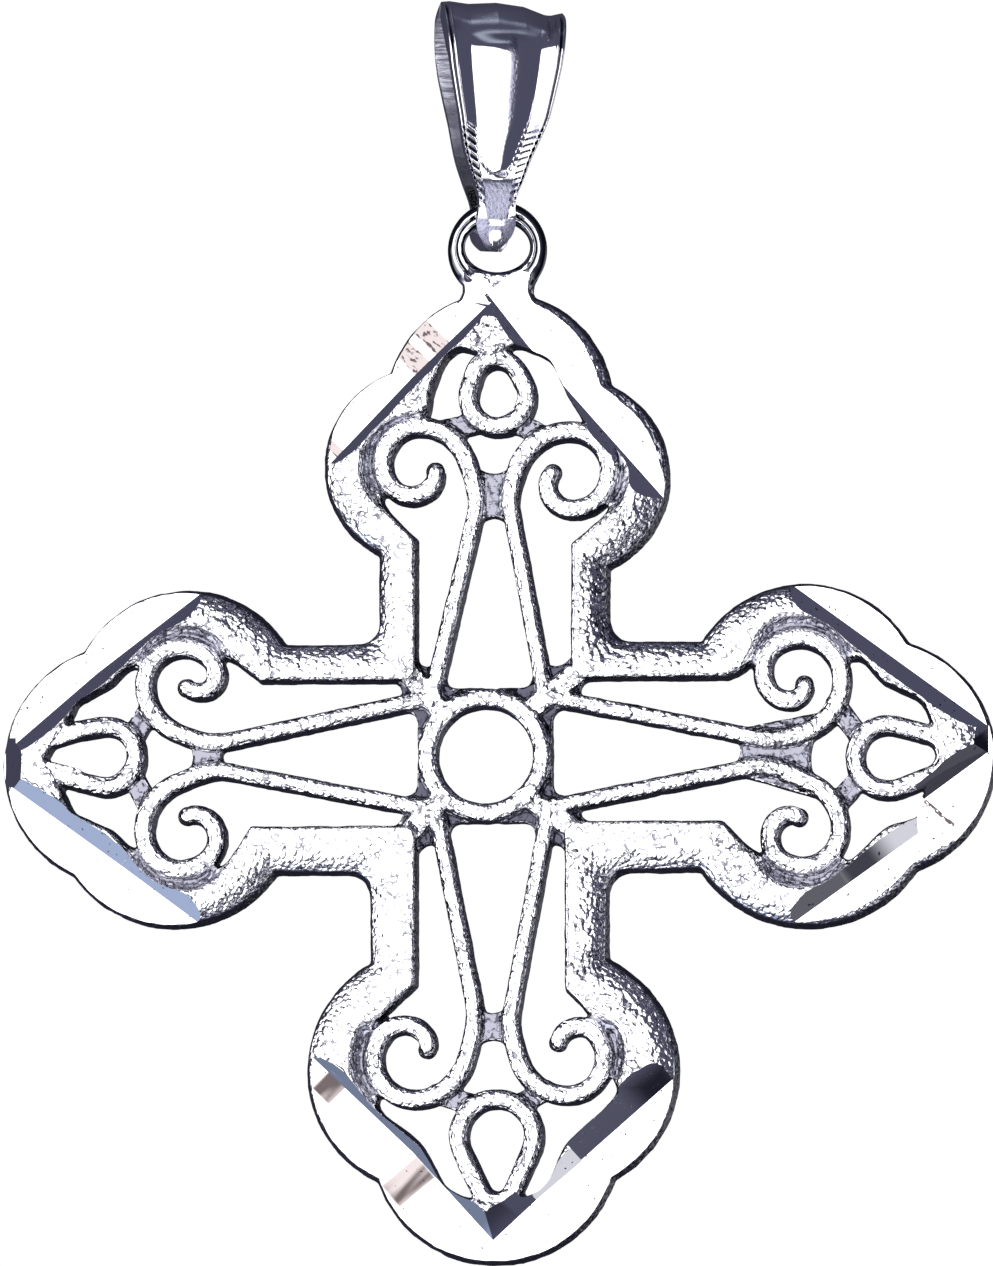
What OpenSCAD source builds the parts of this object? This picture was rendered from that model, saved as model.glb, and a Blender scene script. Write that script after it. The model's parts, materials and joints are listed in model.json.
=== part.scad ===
/* [Cross] */
// Thickness of the rim at its crown
rim_h = 1.4; // [1.1:0.05:1.8]
// Height of the rim's outer wall below its bevel
rim_edge_h = 0.75; // [0.5:0.05:0.95]
// Radius of the hollow corners where two arms meet
arm_fillet = 0.85; // [0.4:0.05:1.2]
// Depth of the mirror-bright cuts below the rim's crown
cut_depth = 0.5; // [0.3:0.05:0.6]
// Fall of each cut towards the outer edge, per millimetre
cut_fall = 0.06; // [0:0.01:0.1]

/* [Scrolls] */
// Width of the scroll wires round their curls
wire_w = 0.8; // [0.6:0.05:0.95]
// Width of the scroll wires along their stems
stem_w = 0.7; // [0.5:0.05:0.8]
// Height of the scroll wires above the flat back
wire_h = 1.2; // [0.9:0.05:1.25]
// Height of the cast webs that join wires and rim
web_h = 0.85; // [0.6:0.05:1]
// How far out the webs at the scrolls' roots reach
root_fill = 3.5; // [3:0.1:4]

/* [Middle ring] */
// Radius of the hole in the middle of the cross
hub_hole_r = 1.8; // [1.6:0.05:1.95]
// Sideways place of that hole on the cross
hub_x = -0.23; // [-0.3:0.01:0.3]

/* [Hanging ring] */
// Outer radius of the ring that hangs in the bail
ring_r = 1.91; // [1.85:0.01:2]
// Radius of that ring's round wire
ring_wire_r = 0.36; // [0.3:0.01:0.38]
// Height of the ring's middle above the middle of the cross
ring_up = 19.42; // [19.3:0.02:19.6]
// Sideways place of the ring and the bail on the cross
ring_x = 0.24; // [0.1:0.02:0.4]
// Height of the ring's wire centre above the flat back
ring_back = 0.62; // [0.5:0.02:0.75]

/* [Bail] */
// How far the bail is turned on its ring, degrees
bail_turn = 10; // [0:1:12]
// How far the bail leans to the side, degrees
bail_lean = 1.2; // [0:0.2:2]
// Height of the raised rib down the bail's front
rib_h = 0.3; // [0.1:0.05:0.4]

/* [Hidden] */
silver = "silver";
hub_sides = 24;
// The middle ring stands this much higher than the scrolls, the drops this much lower.
hub_more = 0.04;
drop_less = 0.03;
// Every solid of the cross reaches this far below the back, which one flat cut then makes.
under = 0.3;
// Radius of the rim's inner corners near the middle of the cross
inner_fillet = 0.3;
// A curl opens towards its stem by this share of its radius, and tightens after this angle.
curl_open = 0.32;
hook_from = 225;
// Half widths of the webs: beside a drop, in a scroll's root corner, where two scrolls meet
// and out from the middle ring. The last three are lower than the first by this much each.
web_step = 0.04;
tie_r = 0.35;
corner_r = 0.4;
meet_r = [0.3, 0.5];
hub_web_r = 0.42;
// The ball at each scroll's end is wider than its wire by this, and lower than its crest.
ball_more = 0.05;
// The middle ring's webs reach past the rim's inner corners by this share.
hub_web_reach = 1.12;

// Arm headings, in the order that the outline runs round the cross.
RIGHT = 0;
TOP = 90;
LEFT = 180;
BOTTOM = 270;

// Rim: one row per half arm. Columns: heading, side, outer and inner half width of the
// shaft, then along, across and radius of the lobe's arc.
RIM = [
    [RIGHT, -1, 4.50, 2.50, 12.10, 1.65, 5.02],
    [RIGHT, 1, 4.40, 2.85, 11.96, 1.96, 4.63],
    [TOP, -1, 4.54, 3.05, 10.70, 2.94, 3.92],
    [TOP, 1, 4.35, 2.80, 11.15, 2.63, 3.85],
    [LEFT, -1, 4.35, 2.80, 11.73, 1.96, 4.52],
    [LEFT, 1, 4.54, 2.65, 12.15, 1.77, 4.81],
    [BOTTOM, -1, 4.69, 2.80, 12.00, 2.38, 4.73],
    [BOTTOM, 1, 4.50, 2.80, 12.04, 2.46, 4.73]
];
// Arm ends: one row per arm. Columns: heading, along, across and radius of the end's arc,
// inner apex of the rim, then the web where its two scrolls meet: from, to.
END = [
    [RIGHT, 14.65, -0.15, 4.62, 17.2, 9.4, 12.2],
    [TOP, 13.50, -0.27, 4.40, 15.2, 9.0, 10.8],
    [LEFT, 14.10, 0.29, 4.70, 17.4, 10.2, 11.4],
    [BOTTOM, 14.64, 0.15, 4.83, 17.0, 9.7, 10.85]
];
// Window: inner corners of the rim, one row per half arm in the order of RIM. Columns:
// knee along, pocket along and across, degrees where the rim leaves the curl, then along and
// across of the wing opening's outer end, its step, its ledge and its inner end.
WINDOW = [
    [8.85, 9.95, 3.60, 120, 13.60, 4.20, 15.00, 2.75, 16.25, 2.45, 16.25, 2.00],
    [9.05, 9.65, 3.10, 110, 14.15, 3.60, 14.90, 2.65, 16.25, 2.05, 16.55, 1.70],
    [8.10, 9.40, 4.55, 130, 12.80, 3.50, 13.80, 2.90, 15.20, 2.25, 15.70, 1.00],
    [8.30, 9.70, 4.20, 100, 13.10, 2.30, 13.90, 2.25, 15.15, 1.75, 15.60, 1.20],
    [8.85, 9.85, 3.60, 110, 13.85, 3.45, 14.60, 2.65, 15.85, 2.05, 16.05, 1.55],
    [9.20, 10.20, 4.20, 120, 14.00, 3.30, 14.50, 2.75, 16.00, 2.10, 16.20, 1.70],
    [8.80, 10.45, 4.60, 140, 13.50, 4.35, 14.75, 2.65, 16.40, 1.80, 16.80, 1.10],
    [9.00, 9.80, 3.60, 170, 12.90, 4.95, 14.75, 2.80, 16.20, 2.20, 16.70, 1.70]
];
// Scrolls: one row per half arm. Columns: root along and across, waist along and across,
// curl centre along and across, curl radius, last angle and radius of its hook, and a power
// that says how late the hook tightens.
SCROLL = [
    [1.90, 2.05, 9.90, 0.50, 11.90, 2.85, 1.43, 340, 0.45, 1.6],
    [1.90, 2.30, 10.30, 0.62, 11.80, 2.85, 1.60, 400, 0.27, 1.3],
    [1.90, 2.15, 9.45, 0.75, 10.90, 3.00, 1.54, 353, 0.65, 2.3],
    [1.90, 2.35, 9.20, 0.62, 11.25, 2.77, 1.40, 332, 0.73, 1.5],
    [1.90, 2.30, 10.10, 0.60, 11.85, 2.77, 1.44, 305, 0.22, 3.0],
    [1.90, 2.15, 10.10, 0.55, 11.85, 2.85, 1.46, 340, 0.62, 1.8],
    [1.90, 2.15, 9.40, 0.68, 11.60, 2.95, 1.52, 325, 0.65, 1.5],
    [1.90, 2.25, 9.75, 0.78, 11.55, 2.90, 1.42, 300, 0.68, 1.5]
];
// Drops: the pierced drop in each arm end, in the order of END. Columns: along, across and
// radius of its hole's round end, then of its pointed end.
DROP = [
    [15.15, -0.15, 0.85, 16.30, 0.10, 0.54],
    [13.75, -0.25, 0.73, 14.35, -0.20, 0.50],
    [14.77, -0.04, 0.77, 16.54, -0.15, 0.54],
    [14.54, 0.20, 1.04, 16.30, 0.22, 0.30]
];
// Bright cuts: one row per half arm in the order of RIM. Columns: along and across of the
// line's end near the arm's tip, then of its end at the rim.
CUT = [
    [18.70, 0.40, 11.60, 6.50],
    [19.05, 1.10, 11.58, 6.55],
    [17.50, 0.10, 10.00, 6.50],
    [17.50, -0.10, 11.00, 6.35],
    [18.75, 0.15, 11.45, 6.00],
    [18.35, 1.15, 11.25, 6.30],
    [18.50, -0.10, 11.70, 6.60],
    [18.50, 0.10, 12.20, 7.15]
];
// Rim section: one row per corner from the outer foot to the inner one. Columns: distance in
// from the outer edge, distance in from the inner edge, share of the crown's height, then the
// last two again where the rim runs beside a curl and dips into a groove.
SECTION = [
    [0.00, undef, -0.15, undef, -0.15],
    [0.00, undef, rim_edge_h / rim_h, undef, rim_edge_h / rim_h],
    [0.30, undef, 0.84, undef, 0.84],
    [undef, 0.62, 1.00, 0.95, 1.00],
    [undef, 0.18, 0.86, 0.55, 0.65],
    [undef, 0.00, 0.60, 0.05, 0.50],
    [undef, 0.00, -0.15, 0.05, -0.15]
];
// Wire section: one row per corner. Columns: share of the width, share of the height.
WIRE_SECTION = [
    [-0.5, -0.2], [-0.5, 0.55], [-0.3, 0.88], [0, 1], [0.3, 0.88], [0.5, 0.55], [0.5, -0.2]
];
// Neck below the hanging ring, from its top to its foot. Columns: sideways, up, radius, height.
NECK = [
    [ring_x, 17.45, 1.15, 1.05],
    [0.10, 16.90, 1.60, 1.05]
];
// Bail: side view from the eye's foot up to its top. Columns: height above the middle of the
// cross, half depth of the sheet's middle, sheet thickness, half width.
BAIL = [
    [19.75, 0.00, 0.80, 0.46],
    [19.92, 0.78, 0.70, 0.60],
    [20.60, 1.28, 0.56, 0.70],
    [21.30, 1.36, 0.52, 0.79],
    [22.20, 1.36, 0.50, 1.06],
    [24.00, 1.50, 0.50, 1.64],
    [26.20, 1.85, 0.50, 2.10],
    [27.70, 1.75, 0.50, 2.34],
    [28.55, 1.08, 0.50, 2.40],
    [28.75, 0.00, 0.50, 2.38]
];
// Relief across the bail's front. Columns: place as a share of the half width, share of rib_h.
RELIEF = [
    [-1.00, 0.3], [-0.88, 0.4], [-0.80, -0.3], [-0.55, -0.3], [-0.40, 0.8], [0, 1.0],
    [0.40, 0.8], [0.55, -0.3], [0.80, -0.3], [0.88, 0.4], [1.00, 0.3]
];

// Where that relief stands out. Columns: height above the middle of the cross, share.
RELIEF_FADE = [[21.9, 0], [22.8, 1], [26.9, 1], [27.6, 0]];

hub_wire_r = hub_hole_r + wire_w / 2;
ring_mid_r = ring_r - ring_wire_r;
// The cross swings on the middle of its ring's topmost wire.
swing_up = ring_up + ring_mid_r;
// The chain bears on the inside of the bail's top, which is the part's origin.
seat_reach = BAIL[9][0] - BAIL[9][2] / 2 - swing_up;
seat = [seat_reach * sin(bail_lean), 0, swing_up + seat_reach * cos(bail_lean)];

// A place on an arm: along its heading and across it, on the given side.
function place(heading, side, along, across) =
    [cos(heading) * along - sin(heading) * side * across,
     sin(heading) * along + cos(heading) * side * across];
function mix(a, b, t) = a + (b - a) * t;
// The half arm that shares its hollow corner with half arm k.
function neighbour(k) = (k % 2 == 0 ? k + 7 : k + 1) % 8;
// Places along a run of straight stretches, evenly spread over the stretches.
function on_run(run, t) =
    let (s = min(t, 0.9999) * (len(run) - 1), i = floor(s)) mix(run[i], run[i + 1], s - i);
// A smooth curve through the rows of a table, t counted in rows.
function on_curve(rows, t) =
    let (n = len(rows), i = min(floor(t), n - 2), f = t - i,
         a = rows[max(i - 1, 0)], b = rows[i], c = rows[i + 1], d = rows[min(i + 2, n - 1)])
    0.5 * (2 * b + (c - a) * f + (2 * a - 5 * b + 4 * c - d) * f * f
        + (3 * b - a - 3 * c + d) * f * f * f);

// The curl of scroll k at an angle that starts on the arm's axis side and turns by the tip.
function curl_radius(row, deg) =
    let (r = row[6])
    deg < 90 ? r * (1 + curl_open * pow(1 - deg / 90, 2))
        : deg < hook_from ? r
        : mix(r, row[8], pow((deg - hook_from) / (row[7] - hook_from), row[9]));
function curl(row, deg) =
    [row[4] + curl_radius(row, deg) * sin(deg), row[5] - curl_radius(row, deg) * cos(deg)];
// Centre line of scroll k, from its root by the waist into the curl.
function scroll_line(row) =
    let (root = [row[0], row[1]], waist = [row[2], row[3]], start = curl(row, 0),
         steer = waist + (waist - root) * 0.4 * (start[0] - waist[0]) / (waist[0] - root[0]))
    concat([root, mix(root, waist, 0.5)],
        [for (t = [0:0.25:0.75])
            pow(1 - t, 2) * waist + 2 * t * (1 - t) * steer + t * t * start],
        [for (i = [0:16]) curl(row, row[7] * i / 16)]);

// Outer edge of half arm k as [along, across] from the hollow corner to the arm's tip.
function arc_cross(row, tip, side) =
    let (a = [row[4], row[5]], b = [tip[1], side * tip[2]], ra = row[6], rb = tip[3],
         d = norm(b - a), x = (d * d + ra * ra - rb * rb) / (2 * d), y = sqrt(ra * ra - x * x),
         u = (b - a) / d)
    a + u * x + [-u[1], u[0]] * y;
function outer_edge(k) =
    let (row = RIM[k], side = row[1], tip = END[floor(k / 2)],
         next = RIM[neighbour(k)][2], f = arm_fillet,
         knee = row[4] - sqrt(pow(row[6], 2) - pow(row[2] - row[5], 2)),
         notch = arc_cross(row, tip, side),
         from = atan2(row[2] - row[5], knee - row[4]),
         to = atan2(notch[1] - row[5], notch[0] - row[4]),
         tip_from = atan2(notch[1] - side * tip[2], notch[0] - tip[1]),
         tip_to = asin(-side * tip[2] / tip[3]))
    concat(
        [for (a = [45, 20, 0]) [next + f - f * sin(a), row[2] + f - f * cos(a)]],
        [for (i = [0:12]) let (a = mix(from, to, i / 12))
            [row[4], row[5]] + row[6] * [cos(a), sin(a)]],
        [for (i = [1:8]) let (a = mix(tip_from, tip_to, i / 8))
            [tip[1], side * tip[2]] + tip[3] * [cos(a), sin(a)]]);
// Inner edge of half arm k, with one place for each place of the outer edge. The third value
// is 1 beside the curl and 0 elsewhere.
function inner_edge(k) =
    let (row = RIM[k], w = WINDOW[k], tip = END[floor(k / 2)], s = SCROLL[k],
         next = RIM[neighbour(k)][3], f = inner_fillet, leave = w[3],
         step = [w[6], w[7], 0],
         lobe = concat([[w[0], row[3], 0], [w[1], w[2], 0]],
            [for (t = [0:0.5:1]) let (c = curl(s, mix(215, leave, t))) [c[0], c[1], 1]],
            [[w[4], w[5], 0], step]),
         end = [step, [w[8], w[9], 0], [w[10], w[11], 0], [tip[4], 0, 0]])
    concat(
        [for (a = [45, 20, 0]) [next + f - f * sin(a), row[3] + f - f * cos(a), 0]],
        [for (i = [0:12]) on_run(lobe, i / 12)],
        [for (i = [1:8]) on_run(end, i / 8)]);

// A closed band whose section runs from one edge to the other at every place.
module rim() {
    halves = [for (k = [0:7]) let (o = outer_edge(k), i = inner_edge(k), n = len(o),
                  h = RIM[k][0], s = RIM[k][1])
        [for (j = [0:n - 1]) let (m = s < 0 ? j : n - 1 - j)
            [place(h, s, o[m][0], o[m][1]), place(h, s, i[m][0], i[m][1]), i[m][2]]]];
    pairs = [for (k = [0:7], j = [0:len(halves[k]) - 2]) halves[k][j]];
    rings = [for (p = pairs) let (w = norm(p[1] - p[0]), u = (p[1] - p[0]) / w)
        [for (c = SECTION)
            let (d = is_undef(c[0]) ? w - min(mix(c[1], c[3], p[2]), 0.5 * w) : min(c[0], 0.4 * w),
                 q = p[0] + u * d) [q[0], q[1], mix(c[2], c[4], p[2]) * rim_h]]];
    loop_solid(rings);
}

// Skin over rings of equal length that close on themselves.
module loop_solid(rings) {
    n = len(rings);
    m = len(rings[0]);
    polyhedron(
        points = [for (r = rings, p = r) p],
        faces = [for (i = [0:n - 1], j = [0:m - 1])
            let (a = i * m + j, b = i * m + (j + 1) % m,
                 c = ((i + 1) % n) * m + (j + 1) % m, d = ((i + 1) % n) * m + j,
                 f = [[a, b, c], [a, c, d]]) each f],
        convexity = 12);
}

// Round-topped wire along a line of [x, y] places.
module wire(line, widths, h, closed = false) {
    n = len(line);
    m = len(WIRE_SECTION);
    rings = [for (i = [0:n - 1])
        let (a = closed ? line[(i + n - 1) % n] : line[max(i - 1, 0)],
             b = closed ? line[(i + 1) % n] : line[min(i + 1, n - 1)],
             t = (b - a) / norm(b - a))
        [for (c = WIRE_SECTION) let (q = line[i] + [-t[1], t[0]] * c[0] * widths[i])
            [q[0], q[1], c[1] * h]]];
    faces = [for (i = [0:(closed ? n - 1 : n - 2)], j = [0:m - 1])
        let (p = i * m + j, q = i * m + (j + 1) % m,
             r = ((i + 1) % n) * m + (j + 1) % m, s = ((i + 1) % n) * m + j,
             f = [[p, q, r], [p, r, s]]) each f];
    ends = closed ? [] : [[for (j = [m - 1:-1:0]) j], [for (j = [0:m - 1]) (n - 1) * m + j]];
    polyhedron(points = [for (r = rings, p = r) p], faces = concat(faces, ends), convexity = 8);
}

module disc(at, r, h) {
    translate([at[0], at[1], -under]) cylinder(r = r, h = h + under, $fn = 12);
}

module web(a, b, ra, rb, h) {
    hull() {
        disc(a, ra, h);
        disc(b, rb, h);
    }
}

// One scroll with the webs that tie its root and its curl to what is beside them.
module scroll(k) {
    h = RIM[k][0];
    s = RIM[k][1];
    row = SCROLL[k];
    drop = DROP[floor(k / 2)];
    line = [for (p = scroll_line(row)) place(h, s, p[0], p[1])];
    last = len(line) - 1;
    wire(line, [for (i = [0:last]) lookup(i, [[0, stem_w], [4, stem_w], [9, wire_w],
        [last - 4, wire_w], [last, stem_w]])], wire_h);
    // The scroll's end is a small ball of metal.
    disc(line[last], stem_w / 2 + ball_more, wire_h - ball_more);
    // One web ties the curl to the drop beside it, the other fills the sharp corner at the root.
    curl_side = curl(row, 55);
    drop_side = [drop[0], s * drop[1]] + (drop[2] + wire_w / 2) * [cos(145), sin(145)];
    web(place(h, s, curl_side[0], curl_side[1]), place(h, s, drop_side[0], drop_side[1]),
        tie_r, tie_r, web_h);
    shaft = RIM[k][3];
    web(place(h, s, shaft, shaft), place(h, s, root_fill, shaft - tie_r),
        corner_r, corner_r / 2, web_h - web_step);
}

// Ring of wire round the pierced drop of one arm end.
module drop_ring(i) {
    d = DROP[i];
    h = END[i][0];
    a = [d[0], d[1]];
    b = [d[3], d[4]];
    gap = norm(b - a);
    turn = atan2(b[1] - a[1], b[0] - a[0]);
    // The two arcs share tangents, which touch them at this angle from the line of centres.
    touch = acos((d[2] - d[5]) / gap);
    line = concat(
        [for (t = [0:9]) a + (d[2] + wire_w / 2)
            * [cos(turn + mix(touch, 360 - touch, t / 9)), sin(turn + mix(touch, 360 - touch, t / 9))]],
        [for (t = [0:4]) b + (d[5] + wire_w / 2)
            * [cos(turn + mix(-touch, touch, t / 4)), sin(turn + mix(-touch, touch, t / 4))]]);
    wire([for (p = line) place(h, 1, p[0], p[1])], [for (p = line) wire_w],
        wire_h - drop_less, closed = true);
}

module hub() {
    circle_line = [for (i = [0:hub_sides - 1]) [hub_x, 0] + hub_wire_r
        * [cos(360 * i / hub_sides), sin(360 * i / hub_sides)]];
    wire(circle_line, [for (p = circle_line) wire_w], wire_h + hub_more, closed = true);
    // Webs run out on the diagonals to the rim's inner corners.
    for (i = [0:3]) {
        a = 45 + 90 * i;
        c = RIM[(2 * i + 1) % 8];
        d = RIM[(2 * i + 2) % 8];
        corner = place(c[0], 1, d[3], c[3]);
        web([hub_x, 0] + hub_wire_r * [cos(a), sin(a)], corner * hub_web_reach,
            hub_web_r, hub_web_r, web_h - 3 * web_step);
    }
}

module hanging_ring() {
    translate([ring_x, ring_up, ring_back])
        rotate_extrude($fn = 36) translate([ring_mid_r, 0]) circle(r = ring_wire_r, $fn = 10);
    hull() for (c = NECK) disc([c[0], c[1]], c[2], c[3]);
}

// Space that one bright cut takes away: a flat floor and a short leaning wall on its inner side.
module bright_cut(k) {
    h = RIM[k][0];
    s = RIM[k][1];
    c = CUT[k];
    tip = place(h, s, c[0], c[1]);
    edge = place(h, s, c[2], c[3]);
    run = edge - tip;
    floor_h = rim_h - cut_depth;
    // The wall leans out to a place a little above the crown.
    wall = [0.5, rim_h + 0.1];
    above = 3;
    reach = 7;
    over = 1.5;
    translate([tip[0], tip[1], 0]) rotate(atan2(run[1], run[0]))
        rotate([90, 0, 90]) translate([0, 0, -over]) linear_extrude(norm(run) + 2 * over)
            scale([s, 1]) polygon([[0, floor_h], wall, [wall[0], above],
                [-reach, above], [-reach, floor_h - cut_fall * reach]]);
}

// Space that the flat back's cut takes away.
module back_cut() {
    size = 100;
    translate([-size / 2, -size / 2, -size]) cube(size);
}

module cross() {
    color(silver)
    translate([-ring_x, 0, 0] - seat) rotate([90, 0, 0]) translate([0, 0, -ring_back])
    difference() {
        union() {
            rim();
            for (k = [0:7]) scroll(k);
            for (i = [0:3]) {
                drop_ring(i);
                web(place(END[i][0], 1, END[i][5] + meet_r[0], 0),
                    place(END[i][0], 1, END[i][6] - meet_r[1], 0),
                    meet_r[0], meet_r[1], web_h - 2 * web_step);
            }
            hub();
            hanging_ring();
        }
        for (k = [0:7]) bright_cut(k);
        back_cut();
    }
}

// The bail's sheet, bent round in side view, with its relief on the front leaf alone.
module bail() {
    rows = len(BAIL);
    steps = 3;
    up = [for (i = [0:(rows - 1) * steps]) on_curve(BAIL, i / steps)];
    // The whole loop: up the front, over the top and down the back.
    loop = concat([for (p = up) [-p[1], p[0], p[2], p[3], 1]],
        [for (i = [len(up) - 2:-1:1]) let (p = up[i]) [p[1], p[0], p[2], p[3], 0]]);
    n = len(loop);
    rings = [for (i = [0:n - 1])
        let (a = loop[(i + n - 1) % n], p = loop[i], b = loop[(i + 1) % n],
             t = [b[0] - a[0], b[1] - a[1]] / norm([b[0] - a[0], b[1] - a[1]]),
             out = [-t[1], t[0]],
             rise = p[4] * rib_h * lookup(p[1], RELIEF_FADE))
        concat(
            [for (x = [-1, 0, 1]) [x * p[3], p[0] - out[0] * p[2] / 2, p[1] - out[1] * p[2] / 2]],
            [for (i = [len(RELIEF) - 1:-1:0]) let (r = RELIEF[i], d = p[2] / 2 + rise * r[1])
                [r[0] * p[3], p[0] + out[0] * d, p[1] + out[1] * d]])];
    color(silver)
        translate([0, 0, swing_up] - seat) rotate([0, bail_lean, 0]) rotate(bail_turn)
            translate([0, 0, -swing_up]) loop_solid(rings);
}

bail();
cross();
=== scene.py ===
# %% [markdown]
# # A cast silver cross pendant, built in cells
#
# The pendant is one silver casting, a pierced cross with scrolls of wire inside a grained rim,
# that hangs by its ring from a folded bail. This lesson builds both as finished meshes round a
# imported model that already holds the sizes, the places and the hinge between the two pieces.
# The cells run from top to bottom: places and camera, the casting, the mirror cuts, the bail,
# the finishes, then the studio.

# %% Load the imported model
import json
import math
from collections import namedtuple
from contextlib import contextmanager

import bmesh
import bpy
import numpy as np
from mathutils import Matrix, Vector


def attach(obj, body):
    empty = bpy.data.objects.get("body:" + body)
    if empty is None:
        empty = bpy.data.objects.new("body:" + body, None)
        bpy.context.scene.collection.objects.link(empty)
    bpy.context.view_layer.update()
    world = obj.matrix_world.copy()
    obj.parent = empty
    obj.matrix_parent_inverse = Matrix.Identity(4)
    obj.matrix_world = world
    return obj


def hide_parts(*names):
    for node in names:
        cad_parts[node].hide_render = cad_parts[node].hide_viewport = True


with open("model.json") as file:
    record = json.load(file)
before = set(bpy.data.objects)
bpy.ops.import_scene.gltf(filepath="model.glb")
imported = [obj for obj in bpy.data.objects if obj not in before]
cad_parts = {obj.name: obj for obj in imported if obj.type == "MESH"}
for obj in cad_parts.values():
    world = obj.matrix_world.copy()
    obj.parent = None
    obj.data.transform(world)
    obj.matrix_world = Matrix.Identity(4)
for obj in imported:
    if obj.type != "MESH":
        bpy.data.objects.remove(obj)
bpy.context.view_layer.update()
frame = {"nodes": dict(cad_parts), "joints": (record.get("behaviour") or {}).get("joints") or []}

HINGE = Vector(frame["joints"][0]["pos_m"]) * 1000
print("nodes", sorted(frame["nodes"]), "hinge at", tuple(round(x, 3) for x in HINGE), "mm")

# %% [markdown]
# ## Places
#
# A jeweller draws such a cross flat on the bench, so this lesson does too. All shapes are made
# in millimetres on a plan: x to the right, y up from the middle of the cross, and h, the height
# above its flat back. One matrix then stands the plan up in the model's frame. Working in
# millimetres also suits the remesh step further on, whose smallest grain is fixed.

# %% From the plan to the frame
MM = 0.001
RING_X = 0.24
SWING_UP = 20.97
RING_BACK = 0.62

STAND_UP = Matrix((
    (MM, 0, 0, MM * (HINGE.x - RING_X)),
    (0, 0, -MM, MM * (HINGE.y + RING_BACK)),
    (0, MM, 0, MM * (HINGE.z - SWING_UP)),
    (0, 0, 0, 1)))
print("the middle of the cross lies at", [round(v, 5) for v in STAND_UP @ Vector((0, 0, 0))])

# %% [markdown]
# ## The camera
#
# The picture to match looks at the front from far away, a few degrees from below and from the
# right: the walls that face that way show in every opening. A long lens keeps the near and far
# parts of a small thing at the same size, and its distance follows from how many pixels of the
# picture make a millimetre.

# %% Place the camera
PICTURE_PX = (993, 1266)
PX_PER_MM = 26.2
MIDDLE_PX = (490.3, 755)
LENS_MM = 300
SENSOR_MM = 36
FACE_H = 1.1
FROM_RIGHT, FROM_ABOVE = math.radians(4), math.radians(-5)

camera = bpy.data.objects.new("camera", bpy.data.cameras.new("camera"))
bpy.context.scene.collection.objects.link(camera)
bpy.context.scene.camera = camera
camera.data.lens = LENS_MM
camera.data.sensor_width = SENSOR_MM
camera.data.clip_start = 0.005
camera.data.clip_end = 10
centre_x = (PICTURE_PX[0] / 2 - MIDDLE_PX[0]) / PX_PER_MM
centre_y = (MIDDLE_PX[1] - PICTURE_PX[1] / 2) / PX_PER_MM
distance = PICTURE_PX[1] / PX_PER_MM * LENS_MM / SENSOR_MM
towards = Vector((math.sin(FROM_RIGHT) * math.cos(FROM_ABOVE), math.sin(FROM_ABOVE),
                  math.cos(FROM_RIGHT) * math.cos(FROM_ABOVE)))
camera.location = STAND_UP @ (Vector((centre_x, centre_y, FACE_H)) + towards * distance)
camera.rotation_euler = (math.radians(90) - FROM_ABOVE, 0, FROM_RIGHT)
print("the camera stands", round(distance), "mm in front")

# %% [markdown]
# ## Skins
#
# Rim, wires and ring are all one idea: a section carried along a line. A list of equal rings of
# points is enough to describe that, and one function turns the list into a closed mesh. Blender
# curves with a bevel could do the wires, but not a rim whose width changes along its way. Mesh
# tools such as turning all faces outwards need the mesh opened and written back, which one
# helper does for every piece.

# %% Skin a list of rings
@contextmanager
def editing(thing):
    """The thing's mesh, opened for mesh tools and written back after them."""
    shape = bmesh.new()
    shape.from_mesh(thing.data)
    yield shape
    shape.to_mesh(thing.data)
    shape.free()


def new_object(name, points=(), faces=()):
    mesh = bpy.data.meshes.new(name)
    mesh.from_pydata([tuple(p) for p in points], [], faces)
    made = bpy.data.objects.new(name, mesh)
    bpy.context.scene.collection.objects.link(made)
    with editing(made) as shape:
        bmesh.ops.recalc_face_normals(shape, faces=shape.faces)
    return made


def skin(name, rings, closed):
    rings = np.asarray(rings, float)
    n, m = rings.shape[:2]
    spans = n if closed else n - 1
    faces = [(i * m + j, i * m + (j + 1) % m, (i + 1) % n * m + (j + 1) % m, (i + 1) % n * m + j)
             for i in range(spans) for j in range(m)]
    if not closed:
        faces += [tuple(range(m)), tuple(range((n - 1) * m, n * m))]
    return new_object(name, rings.reshape(-1, 3), faces)


def mix(a, b, t):
    return a + (b - a) * t


def smooth(a, b, x):
    t = np.clip((x - a) / (b - a), 0, 1)
    return t * t * (3 - 2 * t)


def stretch(a, b, c, d, x):
    """0 up to a, 1 from b to c, and 0 again from d."""
    return smooth(a, b, x) * (1 - smooth(c, d, x))


print("helpers are ready")

# %% [markdown]
# ## The tables
#
# The cross has four arms and each arm two halves, and a hand-made pattern gives each half its
# own small differences. Short tables hold them, one row per half arm, with named columns, so
# that loops can build all eight. Places are along the arm from the middle, and across it.

# %% One row per half arm
RIGHT, TOP, LEFT, BOTTOM = 0, 90, 180, 270


def table(columns, *rows, **settings):
    """Rows of values, each with a name for every column."""
    named = namedtuple("Row", columns, **settings)
    return [named(*row) for row in rows]


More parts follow.
